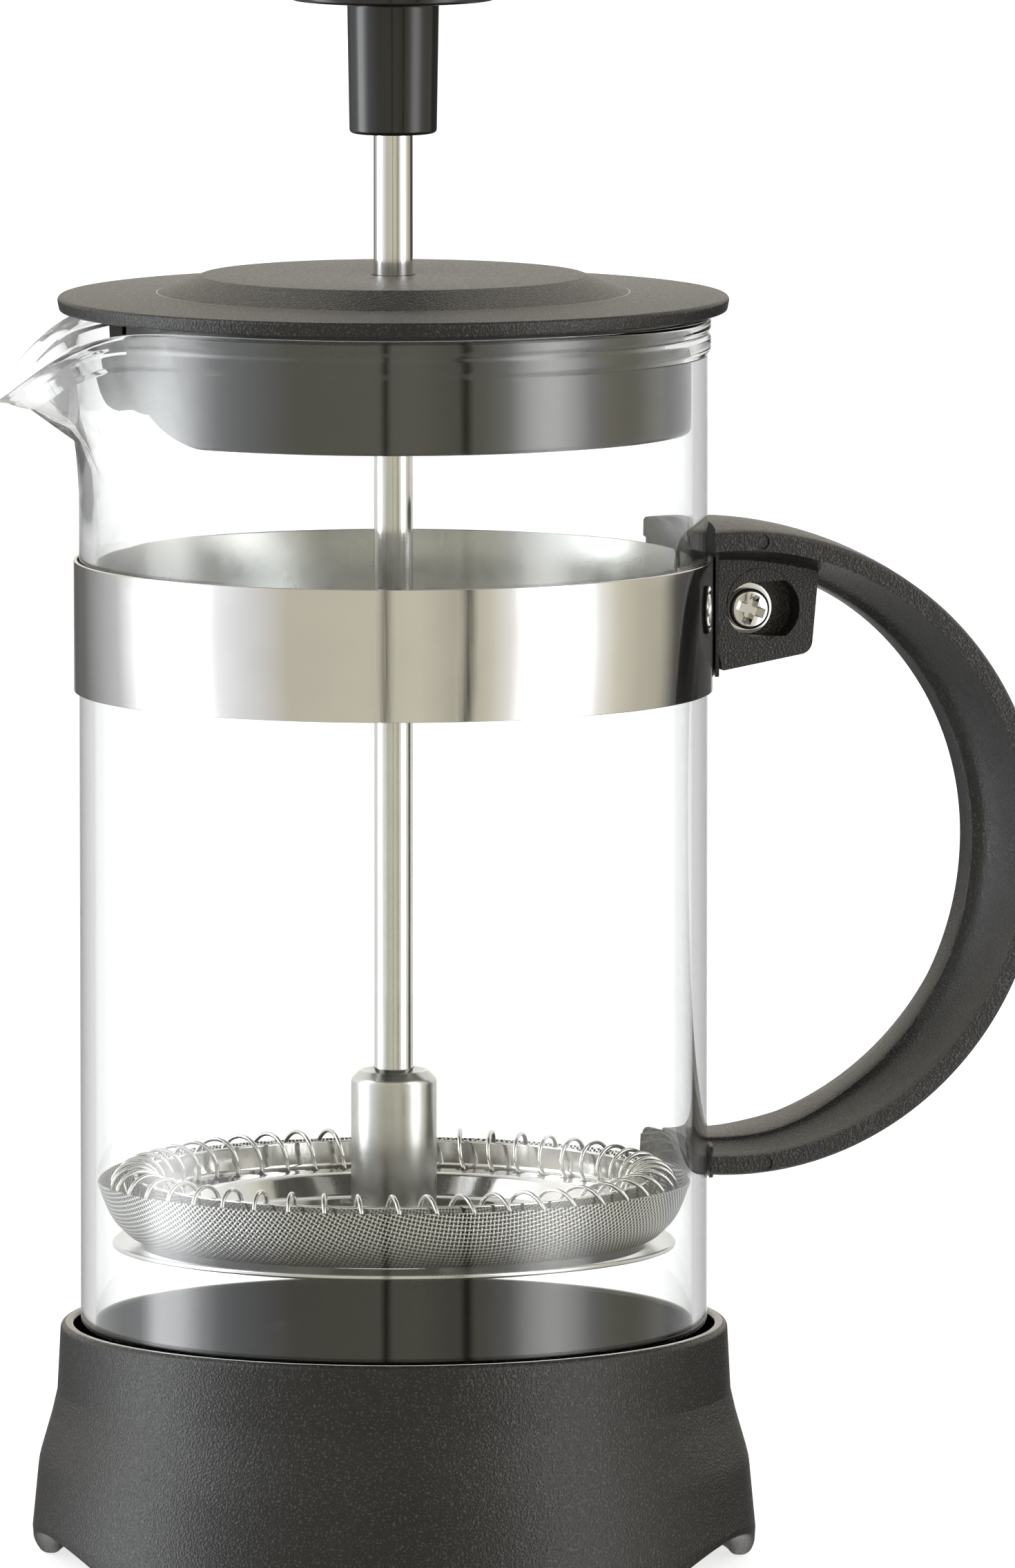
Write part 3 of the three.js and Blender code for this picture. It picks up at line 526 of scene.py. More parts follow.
def woven_steel():
    """Plain weave of round wires that cross over and under, as colour and bump, with painted shade between
    them.
    """
    material, graph, inputs, place = shader("steel_woven", Metallic=1.0)
    wire = 0.56                         # share of the pitch that a wire fills
    flat = graph.node("ShaderNodeUVMap", uv_map="cloth").outputs[0]
    split = graph.node("ShaderNodeSeparateXYZ")
    graph.put(flat, split.inputs[0])

    def family(place_across, place_along, sign):
        """Height of one set of parallel wires."""
        turn = graph.math("MULTIPLY", place_across, math.pi)
        which = graph.math("SIGN", graph.math("SINE", turn))
        off = graph.math("ABSOLUTE", graph.math("COSINE", turn))
        inside = graph.math("SUBTRACT", 1.0, graph.math("DIVIDE", off, math.sin(wire * math.pi / 2)), True)
        dome = graph.math("POWER", inside, 0.5)
        crossing = graph.math("SINE", graph.math("MULTIPLY", place_along, math.pi))
        weave = graph.math("MULTIPLY", crossing, which)
        rise = graph.math("MULTIPLY", weave, 0.35 * sign)
        return graph.math("MULTIPLY", graph.math("ADD", graph.math("ADD", dome, rise), 0.35), 0.6)

    warp = family(split.outputs[0], split.outputs[1], 1)
    weft = family(split.outputs[1], split.outputs[0], -1)
    height = graph.math("MAXIMUM", warp, weft)
    # Near-black base colour where the weave lies low: painted shade in the gaps between and under the
    # wires.
    out_of_painted_shade = graph.between(height, 0, 1, 0.45, 0.85)
    graph.put(graph.mix(out_of_painted_shade, (0.006, 0.0055, 0.005, 1), (0.85, 0.84, 0.81, 1)), inputs["Base Color"])
    graph.put(graph.between(graph.noise(place, 2.0), 0.36, 0.44), inputs["Roughness"])
    graph.put(graph.bump(height, 0.06, 1.0), inputs["Normal"])
    return material


GRAINED = grained_plastic()
SMOOTH = smooth_plastic()
STEEL = polished_steel()
SATIN = satin_steel()
BRASS = brass()
GLASS = clear_glass()
WOVEN = woven_steel()


# ---- carafe ----

def pull_spout(x, y, z):
    """Moves a point of the rim out and down into the spout on the -X side."""
    radius = math.hypot(x, y)
    if z < SPOUT_START_Z or radius < GLASS_R - GLASS_WALL - 1:
        return x, y, z
    angle = math.degrees(math.atan2(y, -x))
    away = min(abs(angle) / SPOUT_END, 1)
    push = math.cos(away * math.pi / 2) ** 2 / (1 + (angle / SPOUT_HALF_WIDTH) ** 2)
    up = ((z - SPOUT_START_Z) / (RIM_Z - SPOUT_START_Z)) ** SPOUT_CURVE
    grow = (radius + SPOUT_PUSH * push * up) / radius
    return x * grow, y * grow, z - SPOUT_DROOP * push ** 1.5 * up


def glass_beaker():
    inner = GLASS_R - GLASS_WALL
    floor = GLASS_Z + GLASS_FLOOR
    outline = rounded([
        (0, GLASS_Z + 0.3, 0),
        (GLASS_R - GLASS_CORNER, GLASS_Z, 3),
        (GLASS_R, GLASS_Z, GLASS_CORNER),
        (GLASS_R, RIM_Z - BEAD_HEIGHT, 0.5),
        (GLASS_R + BEAD_BULGE, RIM_Z - BEAD_HEIGHT * 0.85, 0.7),
        (GLASS_R + BEAD_BULGE, RIM_Z - BEAD_HEIGHT * 0.55, 0.6),
        (GLASS_R + BEAD_BULGE * 0.2, RIM_Z - BEAD_HEIGHT * 0.42, 0.35),
        (GLASS_R + BEAD_BULGE, RIM_Z - BEAD_HEIGHT * 0.3, 0.5),
        (GLASS_R + BEAD_BULGE, RIM_Z, 0.8),
        (inner, RIM_Z, 0.7),
        (inner, floor, GLASS_CORNER - 1),
        (0, floor + 0.3, 0),
    ], turn=9)
    outline = split_long(outline, 0.7, lambda r, z: z > SPOUT_START_Z - 8)
    outline = split_long(outline, 8.0)
    obj = new_object("glass_beaker_clear", revolve(outline, 240, pull_spout))
    return piece(obj, "carafe", "glass_beaker", [GLASS], crease=60)


def steel_band():
    """One strip: out along one ear, round the beaker, and back along the other ear."""
    middle = BAND_R + BAND_THICK / 2
    half = BAND_THICK / 2
    ear_y = EAR_GAP / 2 + half
    start = math.degrees(math.asin(ear_y / middle)) + 1.2
    stations = [(EAR_END_X, ear_y, 0, 1, EAR_Z), (middle + 1.0, ear_y, 0, 1, EAR_Z)]
    for i in range(RING + 1):
        a = math.radians(start + (360 - 2 * start) * i / RING)
        c, s = math.cos(a), math.sin(a)
        stations.append((middle * c, middle * s, c, s, (BAND_Z, BAND_TOP)))
    stations += [(middle + 1.0, -ear_y, 0, -1, EAR_Z), (EAR_END_X, -ear_y, 0, -1, EAR_Z)]
    rings = []
    for x, y, out_x, out_y, (low, high) in stations:
        corners = [(-half, low), (half, low), (half, high), (-half, high)]
        section = rounded([(off, z, 0.12) for off, z in corners], 30)
        rings.append([(x + out_x * off, y + out_y * off, z) for off, z in section])
    obj = new_object("steel_band_polished", loft(rings))
    hole = on_screw(revolve([(0, -3), (SCREW_HOLE_R, -3), (SCREW_HOLE_R, 3), (0, 3)], SMALL_RING), 0)
    boolean(obj, "DIFFERENCE", hole)

    def inner(radius, z, outward):
        return 1 if outward < -0.7 and radius < middle else 0

    return piece(obj, "carafe", "steel_band", [STEEL, SATIN], inner)


def handle_section(angle):
    """Ring of the handle at an angle of its arch: crowned outside, banded sides, hollow flanks."""
    a = math.radians(angle)
    inner_x, up, down = HANDLE_INNER
    inner_z = up if angle > 0 else down
    inner = inner_x * inner_z / math.hypot(inner_z * math.cos(a), inner_x * math.sin(a))
    side = HANDLE_HALF - 0.05
    half = [(HANDLE_R - HANDLE_CROWN * (i / 6) ** 2, (side - 0.45) * i / 6) for i in range(7)]
    edge = HANDLE_R - HANDLE_CROWN - 0.45
    half += arc(edge, side - 0.4, 0.4, 0.4, 60, 90, 2)
    half.append((HANDLE_R - HANDLE_CROWN - HANDLE_SIDE_BAND, HANDLE_HALF))
    top = HANDLE_R - HANDLE_CROWN - HANDLE_SIDE_BAND - 0.12
    depth = top - inner
    fill_start, fill_end = HANDLE_FILL
    near_end = min(max((abs(angle) - fill_start) / (fill_end - fill_start), 0), 1)
    widen = HANDLE_END_HALF - HANDLE_INNER_HALF
    inner_half = HANDLE_INNER_HALF + widen * near_end ** 2 * (3 - 2 * near_end)
    fall = side - 0.3 - inner_half
    half += [
        (top - depth * 0.93 * t, side - 0.3 - fall * math.sin(t * math.pi / 2) ** 0.85)
        for t in (0, 0.08, 0.18, 0.3, 0.44, 0.6, 0.78, 1)
    ]
    half += [(inner + 0.12, inner_half - 0.12), (inner, inner_half - 0.5)]
    section = half + [(r, -y) for r, y in reversed(half[1:])]
    return [(HANDLE_X + r * math.cos(a), y, HANDLE_Z + r * math.sin(a)) for r, y in section]


def saddle(inner, z0, z1, corner):
    """Curved pad against the beaker, thinner towards its ends, with rounded corners."""
    rings = []
    steps = 40
    half_length = math.radians(SADDLE_HALF_ANGLE) * inner
    for i in range(steps + 1):
        share = math.sin(math.pi / 2 * (2 * i / steps - 1))
        a = math.radians(SADDLE_HALF_ANGLE) * share
        into_corner = max(corner - half_length * (1 - abs(share)), 0)
        inset = corner - math.sqrt(max(corner ** 2 - into_corner ** 2, 0))
        outer = inner + SADDLE_THICK - (SADDLE_THICK - SADDLE_EDGE) * share ** 2
        section = rounded([
            (inner, z0 + inset, 0),
            (outer, z0 + inset, 0.15),
            (outer, z1 - inset, 0.15),
            (inner, z1 - inset, 0),
        ], 30)
        rings.append([(r * math.cos(a), r * math.sin(a), z) for r, z in section])
    return loft(rings)


def handle():
    upper = BAND_R + BAND_THICK + 0.25
    lower = GLASS_R + 0.25
    arch = loft([handle_section(HANDLE_END - 2 * HANDLE_END * i / 96) for i in range(97)])
    obj = new_object("handle_moulding", arch)
    lug = rounded([
        (upper + 0.75, UPPER_SADDLE[0] + 0.3, 0.2),
        (46.9, 101.0, 1.5),
        (47.9, 112.0, 0.3),
        (42.0, 113.4, 0),
        (upper - 1, 113.9, 0),
        (upper - 1, 107.5, 0),
    ])
    boolean(obj, "UNION", prism(lug, -LUG_HALF, LUG_HALF, across))
    boolean(obj, "UNION", saddle(upper - 0.05, *UPPER_SADDLE, 1.2))
    boolean(obj, "UNION", saddle(lower - 0.05, *LOWER_SADDLE, 1.2))
    for radius, z0, z1 in ((upper, 85, 125), (lower, 30, 70)):
        boolean(obj, "DIFFERENCE", revolve([(0, z0), (radius, z0), (radius, z1), (0, z1)]))
    slot = [(upper - 2, EAR_Z[0] - 2.2), (EAR_END_X + 0.6, EAR_Z[0] - 0.4),
            (EAR_END_X + 0.6, EAR_Z[1] + 0.4), (upper - 2, EAR_Z[1] + 0.4)]
    boolean(obj, "DIFFERENCE", prism(slot, -LUG_SLOT_HALF, LUG_SLOT_HALF, across))
    pocket = arc(SCREW_X, SCREW_Z + 0.1, 3.05, 3.05, 90, 270, 16)
    pocket += arc(SCREW_X + 1.6, SCREW_Z + 0.1, 3.8, 3.8, -55, 55, 12)
    floor_y = LUG_HALF - POCKET_DEPTH
    for low, high in ((-LUG_HALF - 1, -floor_y), (floor_y, LUG_HALF + 1)):
        boolean(obj, "DIFFERENCE", prism(pocket, low, high, across))
    hole = revolve([(0, -12), (SCREW_HOLE_R, -12), (SCREW_HOLE_R, 12), (0, 12)], SMALL_RING)
    boolean(obj, "DIFFERENCE", on_screw(hole, 0))
    ring = revolve([(3.95, -0.12), (4.1, -0.12), (4.1, 1), (3.95, 1)], SMALL_RING)
    moved = [(SCREW_X + 0.9 + x, -LUG_HALF - z, SCREW_Z + 0.7 + y) for x, y, z in ring[0]]
    boolean(obj, "DIFFERENCE", (moved, ring[1]))
    mark_r = HANDLE_R - HANDLE_CROWN - HANDLE_SIDE_BAND / 2
    for angle, size in ((85.5, 0.9), (-84.6, 0.82)):
        x = HANDLE_X + mark_r * math.cos(math.radians(angle))
        z = HANDLE_Z + mark_r * math.sin(math.radians(angle))
        mark = prism(circle(x, z, size, 32), -HANDLE_HALF - 1, -HANDLE_HALF + 0.28, across)
        boolean(obj, "DIFFERENCE", mark)
    return piece(obj, "carafe", "handle", [GRAINED])


def clamp_screw():
    """Pan head with a cross recess, its shank along +Y."""
    seat = -LUG_HALF + POCKET_DEPTH - 0.7
    tip = LUG_HALF - POCKET_DEPTH + 2.8
    head_r = 2.3
    shank = 1.4
    outline = [(0, -1.6), (1.2, -1.55)] + arc(head_r - 0.6, -0.9, 0.6, 0.55, -80, 0, 8)
    outline += [(head_r, -0.12), (head_r - 0.12, 0), (shank, 0)]
    thread = 0.5
    z = 0.6
    while z < tip - seat - 1:
        outline += [(shank, z), (shank - 0.25, z + thread / 2)]
        z += thread
    outline += [(shank, tip - seat - 0.5), (shank - 0.4, tip - seat), (0, tip - seat)]
    obj = new_object("clamp_screw_steel", on_screw(revolve(outline, SMALL_RING), seat))
    for angle in (20, 110):
        a = math.radians(angle)
        rings = []
        for depth, arm, half in ((-1.9, 2.0, 0.62), (-0.5, 1.0, 0.36)):
            corners = ((-arm, -half), (arm, -half), (arm, half), (-arm, half))
            rings.append([(x * math.cos(a) - y * math.sin(a), x * math.sin(a) + y * math.cos(a), depth)
                          for x, y in corners])
        boolean(obj, "DIFFERENCE", on_screw(loft(rings), seat))
    return piece(obj, "carafe", "clamp_screw", [STEEL])


def clamp_washer():
    y0 = -LUG_HALF + POCKET_DEPTH - 0.6
    outline = rounded([(1.7, 0, 0.05), (2.95, 0, 0.12), (2.95, 0.5, 0.12), (1.7, 0.5, 0.05)], 30)
    obj = new_object("clamp_washer_steel", on_screw(revolve(outline, SMALL_RING), y0))
    return piece(obj, "carafe", "clamp_washer", [STEEL])


def clamp_nut():
    """Hexagon with its corners turned down."""
    y0 = LUG_HALF - POCKET_DEPTH + 0.15
    flats = NUT_FLATS / 2
    corner = flats / math.cos(math.radians(30))
    hexagon = on_screw(prism(arc(0, 0, corner, corner, 0, 360, 6)[:-1], 0, 2.2, upright), y0)
    obj = new_object("clamp_nut_steel", hexagon)
    keep = rounded([(0, -0.01, 0), (flats, -0.01, 0), (corner + 0.2, 0.5, 0), (corner + 0.2, 1.7, 0),
                    (flats, 2.21, 0), (0, 2.21, 0)])
    boolean(obj, "INTERSECT", on_screw(revolve(keep, SMALL_RING), y0))
    boolean(obj, "DIFFERENCE", on_screw(revolve([(0, -1), (1.65, -1), (1.65, 4), (0, 4)], SMALL_RING), y0))
    return piece(obj, "carafe", "clamp_nut", [STEEL])


def lift_arches(x, y, z):
    """Lifts the cup's lower edge into an arch between each two feet."""
    radius = math.hypot(x, y)
    limit = BASE_FLOOR[0] - 0.1
    if z > limit or radius < BASE_FOOT_R - FOOT_DEPTH - 0.9:
        return x, y, z
    spacing = 360 / FOOT_COUNT
    angle = math.degrees(math.atan2(y, x))
    from_foot = abs(angle - spacing * round(angle / spacing))
    if from_foot <= FOOT_HALF_ANGLE:
        return x, y, z
    share = (spacing / 2 - from_foot) / (spacing / 2 - FOOT_HALF_ANGLE)
    lift = ARCH_HEIGHT * math.cos(share * math.pi / 2)
    return x, y, lift + z * (limit - lift) / limit


def base_cup():
    rib = GLASS_R + 0.3
    inner_foot = BASE_FOOT_R - FOOT_DEPTH
    outline = rounded([
        (0, BASE_FLOOR[0], 0),
        (inner_foot, BASE_FLOOR[0], 0.6),
        (inner_foot, 0, 1.1),
        (BASE_FOOT_R - 0.15, 0, 1.3),
        (BASE_FOOT_R, 3.0, 2),
        (BASE_FOOT_R - 0.75, 11.8, 9),
        (BASE_FOOT_R - 2.2, 16.8, 6),
        (BASE_FOOT_R - 2.8, BASE_KINK_Z, 0),
        (BASE_RIM_R, BASE_TOP, 0.7),
        (BASE_RIM_R - BASE_WALL, BASE_TOP, 0.4),
        (BASE_FOOT_R - 2.75 - BASE_WALL, BASE_KINK_Z, 6),
        (BASE_FOOT_R - 2.5 - BASE_WALL, BASE_FLOOR[1], 0.8),
        (rib + 1.2, BASE_FLOOR[1], 0.2),
        (rib + 1.1, BASE_FLOOR[1] + 2, 0.2),
        (rib, BASE_FLOOR[1] + 2, 0.2),
        (rib, BASE_FLOOR[1], 0.2),
        (0, BASE_FLOOR[1], 0),
    ])
    outline = split_long(outline, 1.0, lambda r, z: r > inner_foot - 0.2 and z < BASE_FLOOR[0] + 2)
    obj = new_object("base_cup_moulding", revolve(outline, 240, lift_arches))

    def inside(radius, z, outward):
        within = radius < BASE_FOOT_R - 2.9 - BASE_WALL / 2
        return 1 if z > BASE_FLOOR[1] - 0.2 and outward < 0.5 and within else 0

    return piece(obj, "carafe", "base_cup", [GRAINED, SMOOTH], inside, crease=6)


# ---- lid ----

def pour_gap():
    """Wedge of space that opens the skirt near the spout, wider at its lower edge."""
    rings = []
    top = FLANGE_Z[0] - 0.3
    bottom = LID_BOTTOM - 0.6
    inner_r = BOSS_R + 3
    for i in range(41):
        share = math.sin(i / 40 * math.pi / 2)
        z = top + (bottom - top) * share
        spread = 1 - math.sqrt(1 - share ** 2)
        near = 180 + POUR_NEAR[0] + (POUR_NEAR[1] - POUR_NEAR[0]) * spread
        far = 180 - POUR_FAR[0] - (POUR_FAR[1] - POUR_FAR[0]) * spread
        ring = [(r * math.cos(math.radians(a)), r * math.sin(math.radians(a)), z)
                for r, start, end in ((60, far, near), (inner_r, near, far))
                for a in [start + (end - start) * j / 12 for j in range(13)]]
        rings.append(ring)
    return loft(rings)


def lid():
    ceiling = LID_TOP - LID_PLATE
    under, over = FLANGE_Z
    outline = rounded([
        (ROD_HOLE_R, BOSS_Z, 0.2),
        (BOSS_R, BOSS_Z, 0.4),
        (BOSS_R, ceiling, 0.5),
        (LID_TOP_R - 1, ceiling, 1),
        (LID_CONE_R - 0.6, under + 0.2, 1),
        (SKIRT_R - SKIRT_WALL, under + 0.2, 0.5),
        (SKIRT_R - SKIRT_WALL, LID_BOTTOM, 0.5),
        (SKIRT_R, LID_BOTTOM, 0.9),
        (SKIRT_R, under, 0.4),
        (FLANGE_R - 0.3, under, 0.3),
        (FLANGE_R, over - 0.1, 0.45),
        (LID_CONE_R, over + 0.3, 0.6),
        (LID_TOP_R, LID_TOP, 0.5),
        (ROD_HOLE_R, LID_TOP, 0.25),
    ])
    obj = new_object("lid_moulding", revolve(outline))
    boolean(obj, "DIFFERENCE", pour_gap())

    def below(radius, z, outward):
        return 1 if z < under - 0.02 or (z < ceiling + 0.1 and radius < LID_CONE_R) else 0

    return piece(obj, "lid", "lid", [GRAINED, SMOOTH], below)


# ---- plunger ----

def knob_body():
    bore = INSERT_R + 0.15
    throat = ROD_R + 0.15
    floor = INSERT_Z[0] - 0.3
    narrow, wide = SLEEVE_R
    outline = rounded([
        (throat, SLEEVE_Z, 0.2),
        (narrow, SLEEVE_Z, 0.5),
        (wide, DISC_Z, 0.8),
        (DISC_R, DISC_Z, 0.5),
        (DISC_R, DISC_Z + 1.6, 0.3),
        (DISC_R - 1.6, DISC_Z + 1.6, 0.2),
        (DISC_R - 1.6, DISC_Z + 4, 0.3),
        (DISC_R - 3, DISC_Z + 4, 0.3),
        (DISC_R - 3, DISC_Z + 1.6, 0.2),
        (wide + 0.2, DISC_Z + 1.6, 0.2),
        (wide + 0.2, INSERT_Z[1], 0.3),
        (bore, INSERT_Z[1], 0.2),
        (bore, floor, 0.1),
        (throat, floor, 0.1),
    ])
    obj = new_object("knob_body_moulding", revolve(outline, 96))
    return piece(obj, "plunger", "knob_body", [SMOOTH])


def knob_cap():
    low = DISC_Z + 1.9
    wide = DISC_Z + 9
    wall = 1.6
    inside = DISC_R - 1.3
    outline = [(DISC_R - 0.4, low), (DISC_R - 0.2, low + 0.2)]
    outline += arc(0, wide, KNOB_R, wide - low + 3, -28, 0, 10)
    outline += arc(0, wide, KNOB_R, KNOB_TOP - wide, 6, 90, 20)
    outline += arc(0, wide - 1, KNOB_R - wall - 0.4, KNOB_TOP - wide - wall + 1, 90, 20, 14)
    outline += [(inside, wide - 2), (inside, low)]
    obj = new_object("knob_cap_moulding", revolve(outline, 96))
    return piece(obj, "plunger", "knob_cap", [SMOOTH])


def knob_insert():
    """Brass bush with two rings of knurling between smooth lands."""
    z0, z1 = INSERT_Z
    thread = ROD_R + 0.15
    outline = rounded([
        (thread, z0, 0.2), (INSERT_R - 0.5, z0, 0), (INSERT_R - 0.5, z0 + 1, 0), (INSERT_R, z0 + 1.2, 0),
        (INSERT_R, z0 + 5, 0), (INSERT_R - 0.6, z0 + 5.3, 0), (INSERT_R - 0.6, z0 + 6.3, 0),
        (INSERT_R, z0 + 6.6, 0), (INSERT_R, z1 - 0.3, 0), (INSERT_R - 0.3, z1, 0), (thread, z1, 0.2),
    ])
    steps = 96

    def knurl(x, y, z):
        """Presses every other step inwards where the outside stands proud."""
        radius = math.hypot(x, y)
        step = round(math.degrees(math.atan2(y, x)) * steps / 360)
        shrink = 0.2 if radius > INSERT_R - 0.05 and step % 2 else 0
        return x * (1 - shrink / radius), y * (1 - shrink / radius), z

    obj = new_object("knob_insert_brass", revolve(outline, steps, knurl))
    return piece(obj, "plunger", "knob_insert", [BRASS])


def plunger_rod():
    z0, z1 = ROD_Z
    outline = rounded([(0, z0, 0), (ROD_R, z0, 0.4), (ROD_R, z1, 0.5), (0, z1, 0)])
    obj = new_object("plunger_rod_polished", revolve(split_long(outline, 8.0), SMALL_RING))
    return piece(obj, "plunger", "plunger_rod", [STEEL])


def filter_hub():
    """Long round nut with a bright turned chamfer and a shallow dish round the rod."""
    z0, z1 = HUB_Z
    bore = ROD_R + 0.06
    stud = STUD_R + 0.12
    shelf = (ROD_Z[0] + STUD_Z[1]) / 2
    chamfer = 1.0
    outline = rounded([
        (stud, z0, 0),
        (HUB_R, z0, 0.25),
        (HUB_R, z1 - chamfer, 0.8),
        (HUB_R - chamfer, z1, 0.5),
        (bore + 1.5, z1, 0.2),
        (bore + 0.5, z1 - 0.8, 0.4),
        (bore, z1 - 0.9, 0),
        (bore, shelf, 0),
        (stud, shelf, 0),
    ])
    obj = new_object("filter_hub_turned", revolve(outline, 96))

    def top(radius, z, outward):
        return 1 if z > z1 - 0.3 or (z > z1 - 1.2 and radius < HUB_R - chamfer) else 0

    return piece(obj, "plunger", "filter_hub", [SATIN, STEEL], top)


def spiral_plate():
    """Pressed plate: a floor with round-ended windows, a raised ledge with a hole for each turn of the
    spring, and an upturned rim."""
    t = PLATE_THICK
    step_in, step_out = PLATE_STEP_R
    ledge = PLATE_LEDGE_Z
    hole = STUD_R + 0.3
    outline = rounded([
        (hole, PLATE_Z, 0),
        (step_in, PLATE_Z, 1.0),
        (step_out, ledge, 0.8),
        (PLATE_R, ledge, 0.9),
        (PLATE_R, PLATE_RIM_Z, 0.2),
        (PLATE_R - t, PLATE_RIM_Z, 0.2),
        (PLATE_R - t, ledge + t, 0.5),
        (step_out - 0.3, ledge + t, 1.0),
        (step_in - 0.3, PLATE_Z + t, 0.8),
        (hole, PLATE_Z + t, 0),
    ])
    obj = new_object("spiral_plate_pressed", revolve(outline))
    height = ledge + t / 2 - COIL_Z
    hole_r = COIL_MAJOR_R - math.sqrt(COIL_R ** 2 - height ** 2)
    hole_shape = prism(circle(hole_r, 0, 0.75, 16), ledge - 1, ledge + t + 0.6, upright)
    holes = [turned(hole_shape, 360 * (i + 0.5) / COIL_TURNS) for i in range(COIL_TURNS)]
    window = rounded([(11, -2.6, 2.55), (21, -2.6, 2.55), (21, 2.6, 2.55), (11, 2.6, 2.55)])
    window_shape = prism(window, PLATE_Z - 1, PLATE_Z + t + 1, upright)
    holes += [turned(window_shape, 360 * i / CROSS_HOLES) for i in range(CROSS_HOLES)]
    boolean(obj, "DIFFERENCE", together(holes))
    return piece(obj, "plunger", "spiral_plate", [STEEL])


def coil_spring():
    """Endless ring of coil. The wire winds round a circle about the axis."""
    steps = 26
    sides = 10
    count = COIL_TURNS * steps

    def centre(i):
        turn = 2 * math.pi * i / steps
        about = 2 * math.pi * i / count + math.pi / COIL_TURNS
        heart = Vector((COIL_MAJOR_R * math.cos(about), COIL_MAJOR_R * math.sin(about), COIL_Z))
        outwards = Vector((math.cos(about), math.sin(about), 0))
        arm = outwards * -math.cos(turn) + Vector((0, 0, math.sin(turn)))
        return heart + arm * COIL_R, arm

    rings = []
    for i in range(count):
        here, arm = centre(i)
        along = (centre(i + 1)[0] - centre(i - 1)[0]).normalized()
        aside = along.cross(arm).normalized()
        up = aside.cross(along)
        rings.append([
            tuple(here + up * (COIL_WIRE_R * math.cos(a)) + aside * (COIL_WIRE_R * math.sin(a)))
            for a in [2 * math.pi * j / sides for j in range(sides)]
        ])
    obj = new_object("coil_spring_wire", loft(rings, endless=True))
    return piece(obj, "plunger", "coil_spring", [STEEL], crease=80)


def mesh_filter():
    """Thin bowl of woven wire, with the flat cloth's own coordinates for its weave."""
    t = MESH_THICK
    hole = STUD_R + 0.3
    tall = MESH_RIM_Z - MESH_Z
    wall = rounded([
        (hole, MESH_Z, 0),
        (MESH_FLOOR_R + 1.2, MESH_Z, 2.5),
        (31.3, MESH_Z + tall * 0.33, 6),
        (32.2, MESH_Z + tall * 0.62, 9),
        (MESH_R, MESH_RIM_Z, 0),
        (hole, MESH_RIM_Z, 0),
    ], 8)[1:-1]
    outside = [(hole + (wall[0][0] - hole) * i / 8, MESH_Z) for i in range(8)] + wall
    inside = []
    for index, (r, z) in enumerate(outside):
        before = Vector(outside[max(index - 1, 0)])
        after = Vector(outside[min(index + 1, len(outside) - 1)])
        along = (after - before).normalized()
        inside.append((r - along.y * t, z + along.x * t))
    obj = new_object("mesh_filter_woven", revolve(outside + inside[::-1], RING))
    mesh = obj.data
    runs = [hole]
    for (r0, z0), (r1, z1) in zip(outside, outside[1:]):
        runs.append(runs[-1] + math.hypot(r1 - r0, z1 - z0))
    runs += runs[::-1]
    layer = mesh.uv_layers.new(name="cloth")
    for loop in mesh.loops:
        row, step = divmod(loop.vertex_index, RING)
        a = 2 * math.pi * step / RING
        reach = runs[row] / MESH_PITCH
        layer.data[loop.index].uv = (reach * math.cos(a), reach * math.sin(a))
    return piece(obj, "plunger", "mesh_filter", [WOVEN], crease=80)


def cross_plate():
    """Shallow polished dish with a ring of windows, leaving spokes."""
    t = CROSS_THICK
    hole = STUD_R + 0.3
    outline = rounded([
        (hole, CROSS_Z, 0),
        (CROSS_R - 3.2, CROSS_Z, 2.5),
        (CROSS_R, CROSS_Z + 0.55, 0.35),
        (CROSS_R, CROSS_Z + 1.1, 0.3),
        (CROSS_R - 3.3, CROSS_Z + t, 2.5),
        (hole, CROSS_Z + t, 0),
    ])
    obj = new_object("cross_plate_pressed", revolve(outline))
    windows = []
    for i in range(CROSS_HOLES):
        middle = 360 * (i + 0.5) / CROSS_HOLES
        corners = arc(0, 0, 22, 22, middle - 15, middle + 15, 10)
        corners += arc(0, 0, 10, 10, middle + 11, middle - 11, 6)
        windows.append(prism(corners, CROSS_Z - 1, CROSS_Z + t + 1, upright))
    boolean(obj, "DIFFERENCE", together(windows))
    return piece(obj, "plunger", "cross_plate", [STEEL])


def filter_screw():
    z0, z1 = STUD_Z
    under = CROSS_Z - 0.15
    outline = rounded([
        (0, z0, 0),
        (STUD_HEAD_R, z0 + 0.25, 0.8),
        (STUD_HEAD_R, under, 0.2),
        (STUD_R, under, 0),
        (STUD_R, z1, 0.4),
        (0, z1, 0),
    ])
    obj = new_object("filter_screw_steel", revolve(outline, SMALL_RING))
    wide = STUD_HEAD_R + 1
    slot = [(-wide, -0.5), (wide, -0.5), (wide, 0.5), (-wide, 0.5)]
    boolean(obj, "DIFFERENCE", prism(slot, z0 - 1, z0 + 0.85, upright))
    return piece(obj, "plunger", "filter_screw", [STEEL])


for make in (
    base_cup, glass_beaker, steel_band, handle, clamp_screw, clamp_washer, clamp_nut, lid,
    knob_body, knob_cap, knob_insert, plunger_rod, filter_hub, spiral_plate, coil_spring,
    mesh_filter, cross_plate, filter_screw,
):
    make()


# ---- camera, light and floor ----

CAMERA_AZIMUTH = math.radians(-17)
CAMERA_ELEVATION = math.radians(6.32)
CAMERA_DISTANCE = 2.033
CAMERA_LENS = 420
AIM_Z = 0.0871
AIM_RIGHT = 0.01265

TOWARDS = Vector((math.sin(CAMERA_AZIMUTH), -math.cos(CAMERA_AZIMUTH), 0))
RIGHT = Vector((math.cos(CAMERA_AZIMUTH), math.sin(CAMERA_AZIMUTH), 0))


